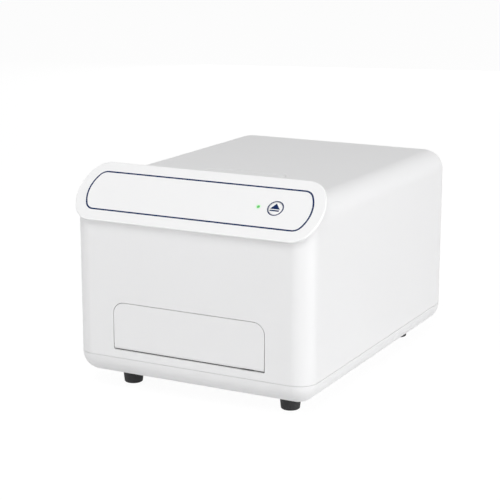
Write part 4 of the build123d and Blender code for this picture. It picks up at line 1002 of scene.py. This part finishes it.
class ScatterTree(NodeSystem):
    """Small blocks of mixed sizes on a patch of a grid, some places left empty."""

    def __init__(self) -> None:
        """Builds the tree."""
        super().__init__("board_patch")
        places = ("Centre", "Least", "Most")
        centre, least, most = (self.input(label, "Vector") for label in places)
        turn = self.input("Turn", "Rotation")
        width = self.input("Width", "Float", 50.0 * MM)
        breadth = self.input("Breadth", "Float", 30.0 * MM)
        across = self.input("Across", "Int", 10)
        along = self.input("Along", "Int", 8)
        filled = self.input("Filled", "Float", 0.7)
        seed = self.input("Seed", "Int", 3)
        material = self.input("Material", "Material")
        inputs = {"Size X": width, "Size Y": breadth, "Vertices X": across, "Vertices Y": along}
        patch = self.node("GeometryNodeMeshGrid", inputs)
        inputs = {"Probability": filled, "Seed": seed}
        kept = self.node("FunctionNodeRandomValue", inputs, 3, data_type="BOOLEAN")
        inputs = {0: least, 1: most, "Seed": seed}
        sizes = self.node("FunctionNodeRandomValue", inputs, data_type="FLOAT_VECTOR")
        block = self.node("GeometryNodeMeshCube", {"Size": (1.0, 1.0, 1.0)})
        inputs = {"Points": patch, "Selection": kept, "Scale": sizes}
        inputs["Instance"] = self.raised(block, 0.5)
        spread = self.node("GeometryNodeInstanceOnPoints", inputs)
        inputs = {"Geometry": spread, "Translation": centre, "Rotation": turn}
        self.finish(self.node("GeometryNodeTransform", inputs), material)


# ------------------------------------------------------------------ sub-assemblies
Dress = tuple[tuple[Finish, str], ...]


@dataclass
class Assembly:
    """A group of CAD nodes, each finish with the nodes that it dresses, and added pieces."""

    shop: Workshop
    dress: Dress = ()

    def build(self) -> None:
        """Dresses the CAD nodes, then adds the pieces that they lack."""
        made = {}
        for finish, nodes in self.dress:
            for node in nodes.split():
                made[node] = self.shop.smooth(finish, node)
        self.add(made)

    def add(self, made: dict[str, Piece]) -> None:
        """Adds the pieces that the CAD nodes lack, given the dressed nodes."""


@dataclass
class Casing(Assembly):
    """Cover, lower tray, hatch and feet."""

    dress: Dress = (
        (WHITE, "top_cover access_cover"),
        (TRAY_WHITE, "base_tray"),
        (FOOT, "front_left_foot front_right_foot rear_left_foot rear_right_foot"),
    )
    hatch_corner: float = 9.65 * MM
    corner_steps: int = 10
    bead_inset: float = 0.45 * MM
    bead_width: float = 1.1 * MM
    bead_height: float = 0.35 * MM
    bead_sink: float = 0.1 * MM
    bead_flat: Point = (0.72, 0.28)
    bead_sharp: float = 50.0

    def add(self, made: dict[str, Piece]) -> None:
        """Adds a fine raised bead along the hatch's edge."""
        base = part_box("access_cover")[1].z
        low, high = base - self.bead_sink, base + self.bead_height
        outer, width = self.bead_inset, self.bead_width
        ring = closed_ring(
            self._loop(outer, low),
            self._loop(outer + width, low),
            *(self._loop(outer + width * share, high) for share in self.bead_flat),
        )
        self.shop.piece("hatch_bead", rounded(ring, self.bead_sharp), WHITE, "hatch")

    def _loop(self, inset: float, level: float) -> list[Vector]:
        """Rounded rectangle of the hatch drawn in by an inset."""
        low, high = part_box("access_cover")
        centre = middle("access_cover")
        radius = self.hatch_corner - inset
        half_x = (high.x - low.x) / 2 - inset - radius
        half_y = (high.y - low.y) / 2 - inset - radius
        places = []
        for k, (sx, sy) in enumerate(((1, 1), (-1, 1), (-1, -1), (1, -1))):
            for i in range(self.corner_steps + 1):
                angle = math.pi / 2 * (k + i / self.corner_steps)
                x = centre.x + sx * half_x + radius * math.cos(angle)
                y = centre.y + sy * half_y + radius * math.sin(angle)
                places.append(Vector((x, y, level)))
        return places


class Facing(Enum):
    """Way that a screw's head faces: axis, sign along it, and turn from upright."""

    DOWN = (2, -1, (math.pi, 0.0, 0.0))
    UP = (2, 1, (0.0, 0.0, 0.0))
    BACK = (1, 1, (-math.pi / 2, 0.0, 0.0))


@dataclass
class Screws(Assembly):
    """Every visible screw, as a cap screw with a hexagon socket."""

    head: float = 2.6 * MM
    panel_head: float = 1.6 * MM
    size_step: float = 0.1 * MM

    def add(self, made: dict[str, Piece]) -> None:
        """Replaces the screws of each CAD node."""
        tree = ScrewTree()
        for node, facing, head in (
            ("cover_screws", Facing.DOWN, self.head),
            ("foot_screws", Facing.DOWN, self.head),
            ("bench_screws", Facing.UP, self.head),
            ("panel_screws", Facing.BACK, self.panel_head),
        ):
            axis, sign, turn = facing.value
            for number, group in enumerate(self._groups(node)):
                size = group[0][1] - group[0][0]
                seats = []
                for low, high in group:
                    seat = (low + high) / 2
                    seat[axis] = (high[axis] - head) if sign > 0 else (low[axis] + head)
                    seats.append(seat)
                shape = ScrewShape(size[(axis + 1) % 3] / 2, head, size[axis] - head).values()
                name, body = f"{node}_{number + 1}", self.shop.body(node)
                piece = tree.build(name, self.shop, ZINC, body, seats, Turn=turn, **shape)
                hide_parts(node)

    def _groups(self, node: str) -> list[list[Box]]:
        """Boxes of one node's screws, sorted into groups of equal size."""
        groups: dict[tuple[int, ...], list[Box]] = {}
        for low, high in islands(node):
            key = tuple(round(part / self.size_step) for part in high - low)
            groups.setdefault(key, []).append((low, high))
        return list(groups.values())


@dataclass(frozen=True)
class FasciaPlane:
    """The fascia's front face: its outline, tilt and place."""

    half_length: float = 149.8 * MM
    half_width: float = 38.75 * MM
    end_radius: float = 51.7 * MM
    corner: float = 25.1 * MM
    tilt: float = math.radians(45.0)

    @property
    def normal(self) -> Vector:
        """Outward normal of the face."""
        return Vector((0.0, -math.sin(self.tilt), math.cos(self.tilt)))

    @property
    def uphill(self) -> Vector:
        """Direction up the slope."""
        return Vector((0.0, math.cos(self.tilt), math.sin(self.tilt)))

    @property
    def centre(self) -> Vector:
        """Centre of the front face, from the CAD node's own points."""
        places = [v.co for v in frame["nodes"]["fascia_plate"].data.vertices]
        level = max(place.dot(self.normal) for place in places)
        rises = [place.dot(self.uphill) for place in places]
        return self.normal * level + self.uphill * ((max(rises) + min(rises)) / 2)

    def loop(self, points: Iterable[Point], lift: float) -> list[Vector]:
        """Places on or over the face.

        Args:
            points: Distances to the right and up the slope.
            lift: Height over the face.

        Returns:
            The places in the row frame.
        """
        foot = self.centre + self.normal * lift
        return [foot + Vector((x, 0.0, 0.0)) + self.uphill * rise for x, rise in points]

    def outline(self, inset: float, steps: int = 24) -> list[Point]:
        """The fascia's outline drawn in by an inset, as a closed loop of points.

        Args:
            inset: Distance inside the outer edge.
            steps: Points on each round stretch.

        Returns:
            Points anticlockwise from the right end.
        """
        end = self.end_radius - inset
        corner = self.corner - inset
        bow_x = self.half_length - self.end_radius
        corner_rise = self.half_width - self.corner
        reach = self.end_radius - self.corner
        corner_x = bow_x + math.sqrt(reach**2 - corner_rise**2)
        meet = math.atan2(corner_rise, corner_x - bow_x)
        bow = [meet * (2 * i / steps - 1) for i in range(steps)]
        turn = [meet + (math.pi / 2 - meet) * i / steps for i in range(steps + 1)]
        right = [(bow_x + end * math.cos(a), end * math.sin(a)) for a in bow]
        top = [(corner_x + corner * math.cos(a), corner_rise + corner * math.sin(a)) for a in turn]
        upper = [point for point in (*right, *top) if point[1] >= 0.0]
        lower = [(x, -rise) for x, rise in reversed(upper[1:])]
        loop = [*upper, *((-x, rise) for x, rise in reversed(upper))]
        loop += [(-x, rise) for x, rise in reversed(lower)]
        return [*loop, *lower]


FASCIA = FasciaPlane()
LIGHT_AT = tuple(FASCIA.loop([(middle("status_light").x, 0.0)], 0.0)[0])
# The fascia's white, with the status light's glow painted into it as colour round LIGHT_AT.
FASCIA_WHITE_PAINTED_GLOW = GlowPaintedMoulding(
    "fascia_moulding_painted_glow", "fascia_plastic", (0.925, 0.925, 0.928), sharp=50.0, centre=LIGHT_AT
)


@dataclass
class Fascia(Assembly):
    """The tilted fascia with its printed line, eject key and status light."""

    dress: Dress = (
        (FASCIA_WHITE_PAINTED_GLOW, "fascia_plate eject_button"),
        (GREEN, "status_light"),
    )
    ring: FasciaPlane = FasciaPlane(135.9 * MM, 24.9 * MM, 37.8 * MM, 11.2 * MM)
    ring_line: float = 1.85 * MM
    key_x: float = 94.5 * MM
    key_line_radius: float = 8.0 * MM
    key_line: float = 1.25 * MM
    ink: float = 0.04 * MM
    lift: float = 0.01 * MM
    triangle_ends: Point = (-6.1 * MM, 5.3 * MM)
    triangle_foot: float = -1.0 * MM
    triangle_tip: Point = (-0.4 * MM, 6.0 * MM)
    bar_ends: Point = (-5.8 * MM, 4.9 * MM)
    bar_rises: Point = (-3.7 * MM, -2.1 * MM)

    def add(self, made: dict[str, Piece]) -> None:
        """Prints the long line, the circle round the key and the eject sign."""
        half = self.ring_line / 2
        self._band("fascia_line", self.ring.outline(-half), self.ring.outline(half))
        radius = self.key_line_radius
        circles = [circle((self.key_x, 0.0), r) for r in (radius + self.key_line, radius)]
        self._band("key_line", *circles)
        left, right = self.triangle_ends
        foot = self.triangle_foot
        self._sign("eject_triangle", (left, foot), (right, foot), self.triangle_tip)
        (left, right), (foot, head) = self.bar_ends, self.bar_rises
        self._sign("eject_bar", (left, foot), (right, foot), (right, head), (left, head))

    def _band(self, name: str, outer: list[Point], inner: list[Point]) -> None:
        """Prints a closed band between two loops on the fascia's face."""
        low, high = self.lift, self.lift + self.ink
        corners = ((outer, low), (inner, low), (inner, high), (outer, high))
        form = closed_ring(*(FASCIA.loop(loop, height) for loop, height in corners))
        self.shop.piece(name, form, NAVY, "housing")

    def _sign(self, name: str, *points: Point) -> None:
        """Prints a filled shape on the key, its points taken from the key's middle."""
        key = frame["nodes"]["eject_button"].data.vertices
        level = max(v.co.dot(FASCIA.normal) for v in key) - FASCIA.centre.dot(FASCIA.normal)
        shape = [(self.key_x + x, rise) for x, rise in points]
        low = level + self.lift
        form = closed_plate(FASCIA.loop(shape, low), FASCIA.loop(shape, low + self.ink))
        self.shop.piece(name, form, NAVY, "eject_key")


@dataclass
class Door(Assembly):
    """The drop-down plate door, its frame, pin and spring."""

    dress: Dress = (
        (DOOR_WHITE, "plate_door"),
        (BLACK, "door_frame"),
        (GROUND, "door_pin"),
        (ZINC, "door_spring"),
    )
    relief_height: float = 62.0 * MM
    relief: float = 0.25 * MM
    edge_band: float = 0.1 * MM

    def add(self, made: dict[str, Piece]) -> None:
        """Draws the door's lower side edges in, so that they clear the doorway."""
        points = made["plate_door"].data.vertices
        side = max(vert.co.x for vert in points) - self.edge_band
        for vert in points:
            if vert.co.z < self.relief_height and abs(vert.co.x) > side:
                vert.co.x -= math.copysign(self.relief, vert.co.x)


@dataclass
class Transport(Assembly):
    """The plate carrier, its rods, belt, pulleys and motor."""

    dress: Dress = (
        (CARRIER, "plate_carrier"),
        (LEVER, "plate_clamp"),
        (GROUND, "linear_bushings clamp_pin guide_rods idler_axle"),
        (ZINC, "clamp_spring motor_bracket"),
        (ALUMINIUM, "belt_clamp rod_blocks bench_plate drive_pulley idler_pulley idler_bracket"),
        (BRASS, "bench_posts"),
        (BELT, "drive_belt"),
        (MOTOR, "drive_motor"),
    )
    belt_thickness: float = 1.3 * MM
    tooth_pitch: float = 1.885 * MM
    tooth_share: float = 0.55
    upper_tooth: float = 0.3 * MM
    lower_tooth: float = 0.7 * MM
    tooth_root: float = 0.2 * MM
    motor_length: float = 34.0 * MM
    motor_corner: float = 3.0 * MM
    cap_proud: float = 0.2 * MM
    cap_length: float = 9.0 * MM
    cap_screw: float = 2.4 * MM
    cap_screw_head: float = 0.96 * MM
    cap_screw_depth: float = 0.625
    cap_screw_shank: float = 0.5

    def add(self, made: dict[str, Piece]) -> None:
        """Adds the belt's teeth and the motor's end caps."""
        self._belt_teeth()
        self._motor_caps()

    def _belt_teeth(self) -> None:
        """Teeth on the inner side of the belt's two straight runs."""
        low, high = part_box("drive_belt")
        centre = middle("drive_belt")
        outer = (high.z - low.z) / 2
        inner = outer - self.belt_thickness
        pitch = self.tooth_pitch
        front, back = low.y + outer + pitch, high.y - outer - pitch
        tree = RowTree()
        runs = {"upper": (1, self.upper_tooth), "lower": (-1, self.lower_tooth)}
        for run, (side, tall) in runs.items():
            height = centre.z + side * (inner - tall / 2 + self.tooth_root / 2)
            values = {
                "Count": int((back - front) / pitch),
                "Start": (centre.x, front, height),
                "Step": (0.0, pitch, 0.0),
                "Size": (high.x - low.x, pitch * self.tooth_share, tall + self.tooth_root),
            }
            tree.build(f"belt_teeth_{run}", self.shop, BELT, "housing", **values)

    def _motor_caps(self) -> None:
        """Bare end caps of the carriage motor, with their screws."""
        low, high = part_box("drive_motor")
        face = high.x - self.motor_length
        y, z = middle("drive_motor").yz
        half = (high.y - low.y) / 2 + self.cap_proud
        flat = half - self.motor_corner
        corners = [(half, -flat), (half, flat), (flat, half), (-flat, half)]
        corners += [(-half, flat), (-half, -flat), (-flat, -half), (flat, -half)]
        for name, ends in (
            ("motor_front_cap", (face + self.cap_proud, face + self.cap_length)),
            ("motor_rear_cap", (high.x - self.cap_length, high.x + self.cap_proud)),
        ):
            loops = ([Vector((x, y + a, z + b)) for a, b in corners] for x in ends)
            form = closed_plate(*loops)
            bmesh.ops.recalc_face_normals(form, faces=form.faces)
            self.shop.piece(name, form, ALUMINIUM, "housing")
        reach = flat - self.cap_screw
        seats = [
            Vector((high.x + self.cap_proud, y + sy * reach, z + sz * reach))
            for sy in (-1, 1)
            for sz in (-1, 1)
        ]
        shares = {"depth": self.cap_screw_depth, "shank": self.cap_screw_shank}
        shape = ScrewShape(self.cap_screw, self.cap_screw_head, self.cap_length / 2, **shares)
        sizes = {"Turn": (0.0, math.pi / 2, 0.0), **shape.values()}
        ScrewTree().build("motor_cap_screws", self.shop, ZINC, "housing", seats, **sizes)


@dataclass
class Optics(Assembly):
    """The optics shelf, filter wheel, lamp, light guide and detectors."""

    dress: Dress = (
        (ALUMINIUM, "optics_shelf lens_tube lamp_housing"),
        (ZINC, "shelf_posts"),
        (ANODISED, "detector_block fibre_head fibre_manifold optics_bracket filter_wheel"),
        (MOTOR, "filter_motor"),
        (CLEAR, "detector_lenses condenser_lens"),
        (FILTERS, "filters"),
        (QUARTZ, "halogen_lamp"),
        (SHEATH, "light_guide"),
    )


@dataclass(frozen=True)
class Scatter:
    """A patch of small parts on the main board, in millimetres from its middle."""

    name: str
    shift: Point
    size: Point
    grid: tuple[int, int]
    seed: int


@dataclass
class Rear(Assembly):
    """The rear panel with its inlet, switch, fan and socket, and the boards behind it."""

    dress: Dress = (
        (PANEL, "rear_panel"),
        (BLACK, "power_inlet power_switch power_rocker fan_frame fan_rotor"),
        (ZINC, "usb_port"),
        (BOARD, "keypad_board main_board power_supply"),
    )
    board_thickness: float = 1.6 * MM
    bodies: tuple[Triple, ...] = ((0.8 * MM, 1.0 * MM, 0.5 * MM), (1.3 * MM, 1.9 * MM, 1.0 * MM))
    ends: tuple[Triple, ...] = ((0.7 * MM, 1.5 * MM, 0.3 * MM), (1.2 * MM, 2.5 * MM, 0.7 * MM))
    filled: float = 0.62
    scatters: tuple[Scatter, ...] = (
        Scatter("front", (-62.0, -28.0), (29.0, 40.0), (9, 9), 11),
        Scatter("lower", (10.0, -48.0), (12.0, 90.0), (4, 20), 23),
        Scatter("back", (84.0, 15.0), (60.0, 26.0), (17, 6), 37),
        Scatter("upper", (-5.0, 47.0), (16.0, 110.0), (5, 24), 41),
    )
    patches: tuple[Patch, ...] = (
        Patch("main_board", CHIP, (122.9, -106.0, 74.0), (130.9, -1.0, 126.0)),
        Patch("main_board", SOCKET, (122.9, -146.0, 77.0), (130.9, -134.0, 143.0)),
        Patch("main_board", SOCKET, (122.9, 24.0, 47.0), (130.9, 36.0, 73.0)),
        Patch("main_board", SLEEVE, (122.9, -86.0, 50.0), (130.9, -34.0, 62.0)),
        Patch("power_supply", ALUMINIUM, (-109.0, 107.0, 32.1), (-19.0, 110.0, 61.0)),
        Patch("power_supply", ALUMINIUM, (-99.0, 155.0, 32.1), (-29.0, 160.0, 61.0)),
        Patch("power_supply", TAPE, (-101.0, 119.0, 32.1), (-69.0, 149.0, 57.0)),
        Patch("power_supply", SLEEVE, (-58.0, 120.0, 32.1), (-26.0, 136.0, 59.0)),
    )

    def add(self, made: dict[str, Piece]) -> None:
        """Paints the boards' large parts and adds the small ones."""
        for patch in self.patches:
            self.shop.paint(made[patch.node], patch)
        tree = ScatterTree()
        for scatter in self.scatters:
            name = f"board_{scatter.name}"
            self._scatter(tree, scatter, f"{name}_bodies", CHIP, self.bodies)
            self._scatter(tree, scatter, f"{name}_ends", TIN, self.ends)

    def _scatter(
        self,
        tree: ScatterTree,
        scatter: Scatter,
        name: str,
        finish: Finish,
        sizes: Sequence[Triple],
    ) -> None:
        """Adds the bodies or the ends of one patch of small parts.

        Args:
            tree: The scatter tree.
            scatter: The patch.
            name: The piece's name.
            finish: The piece's finish.
            sizes: Smallest and largest block.
        """
        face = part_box("main_board")[1].x - self.board_thickness
        centre = middle("main_board")
        back, up, tall, wide = (part * MM for part in (*scatter.shift, *scatter.size))
        values = {
            "Centre": (face, centre.y + back, centre.z + up),
            "Turn": (0.0, -math.pi / 2, 0.0),
            "Width": tall,
            "Breadth": wide,
            "Across": scatter.grid[0],
            "Along": scatter.grid[1],
            "Least": sizes[0],
            "Most": sizes[1],
            "Filled": self.filled,
            "Seed": scatter.seed,
        }
        tree.build(name, self.shop, finish, "housing", **values)


# ------------------------------------------------------------------ studio
@dataclass(frozen=True)
class Softbox:
    """A square area lamp aimed at the object."""

    name: str
    place: Triple
    watts: float
    glossy: bool = True
    size: float = 1.6
    aim: Triple = (0.0, 0.0, 0.12)

    def build(self) -> None:
        """Adds the lamp."""
        lamp = bpy.data.lights.new(self.name, "AREA")
        lamp.shape = "SQUARE"
        lamp.size = self.size
        lamp.energy = self.watts
        made = bpy.data.objects.new(self.name, lamp)
        made.location = self.place
        ahead = Vector(self.aim) - Vector(self.place)
        made.rotation_euler = ahead.to_track_quat("-Z", "Y").to_euler()
        made.visible_glossy = self.glossy
        bpy.context.scene.collection.objects.link(made)


@dataclass
class Studio:
    """Camera, lamps, world and floor."""

    eye: Triple = (0.76110, -1.51452, 0.53529)
    forward: Triple = (-0.44965, 0.86295, -0.23053)
    roll: float = math.radians(-0.09)
    lens: float = 105.80
    sensor: float = 36.0
    floor_size: float = 60.0
    floor_colour: Triple = (0.77, 0.77, 0.77)
    plain: Triple = (1.0, 1.0, 1.0)
    glow_share: float = 0.86
    glow: float = 1.1
    ambient: float = 0.22
    lamps: tuple[Softbox, ...] = (
        Softbox("right", (3.095, -0.430, 0.785), 52.0),
        Softbox("front", (0.0, -3.180, 0.450), 11.7),
        Softbox("high", (0.676, -1.750, 2.750), 42.0),
        Softbox("left", (-2.220, -2.220, 0.700), 22.5),
        Softbox("rear", (-0.900, 3.000, 0.450), 22.0, glossy=False),
    )

    def build(self) -> None:
        """Sets up the whole studio."""
        self._camera()
        self._world()
        self._floor()
        for lamp in self.lamps:
            lamp.build()
        bpy.context.scene.view_settings.view_transform = "Standard"

    def _camera(self) -> None:
        """The camera at its place."""
        camera = bpy.data.cameras.new("camera")
        camera.lens = self.lens
        camera.sensor_width = self.sensor
        made = bpy.data.objects.new("camera", camera)
        ahead = Vector(self.forward).normalized()
        right = ahead.cross(Vector((0.0, 0.0, 1.0))).normalized()
        up = right.cross(ahead)
        turned = Matrix.Rotation(self.roll, 3, ahead)
        right, up = turned @ right, turned @ up
        axes = Matrix((right, up, -ahead)).transposed().to_4x4()
        made.matrix_world = Matrix.Translation(self.eye) @ axes
        bpy.context.scene.collection.objects.link(made)
        bpy.context.scene.camera = made

    def _world(self) -> None:
        """White where it is seen, and a plain soft light on the object."""
        sky = Shader("studio", world=True)
        shells = []
        for level in (self.ambient, 1.0):
            inputs = {"Color": shade(self.plain, level), "Strength": 1.0}
            shells.append(sky.node("ShaderNodeBackground", inputs))
        mixed = sky.node("ShaderNodeMixShader", [sky.seen(), *shells])
        bpy.context.scene.world = sky.close(mixed)

    def _floor(self) -> None:
        """A plain pale floor that keeps the shadow."""
        form = bmesh.new()
        bmesh.ops.create_grid(form, x_segments=1, y_segments=1, size=self.floor_size / 2)
        mesh = bpy.data.meshes.new("floor")
        form.to_mesh(mesh)
        form.free()
        paint = Shader("floor")
        matt = paint.node("ShaderNodeBsdfDiffuse", {"Color": shade(self.floor_colour)})
        light = {"Color": shade(self.plain), "Strength": self.glow}
        glow = paint.node("ShaderNodeEmission", light)
        share = paint.seen() * self.glow_share
        mesh.materials.append(paint.close(paint.node("ShaderNodeMixShader", [share, matt, glow])))
        floor = bpy.data.objects.new("floor", mesh)
        bpy.context.scene.collection.objects.link(floor)
        floor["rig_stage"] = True


# ------------------------------------------------------------------ main
def write_sizes(before: object, after: object) -> None:
    """Puts the CAD box and the finished box side by side in a dictionary that is not kept."""

    def plain(bounds: Iterable) -> list:
        """Nested plain lists of numbers."""
        return [plain(part) if hasattr(part, "__len__") else float(part) for part in bounds]

    {"cad": plain(before), "finished": plain(after)}


def main() -> None:
    """Builds the studio and every sub-assembly."""
    logging.basicConfig(level=logging.INFO, format="%(name)s: %(message)s")
    shop = Workshop()
    Studio().build()
    for assembly in (Casing, Screws, Fascia, Door, Transport, Optics, Rear):
        LOG.info("sub-assembly %s", assembly.__name__)
        assembly(shop).build()
    write_sizes(CAD_BOUNDS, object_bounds())


if __name__ == "__main__":
    main()
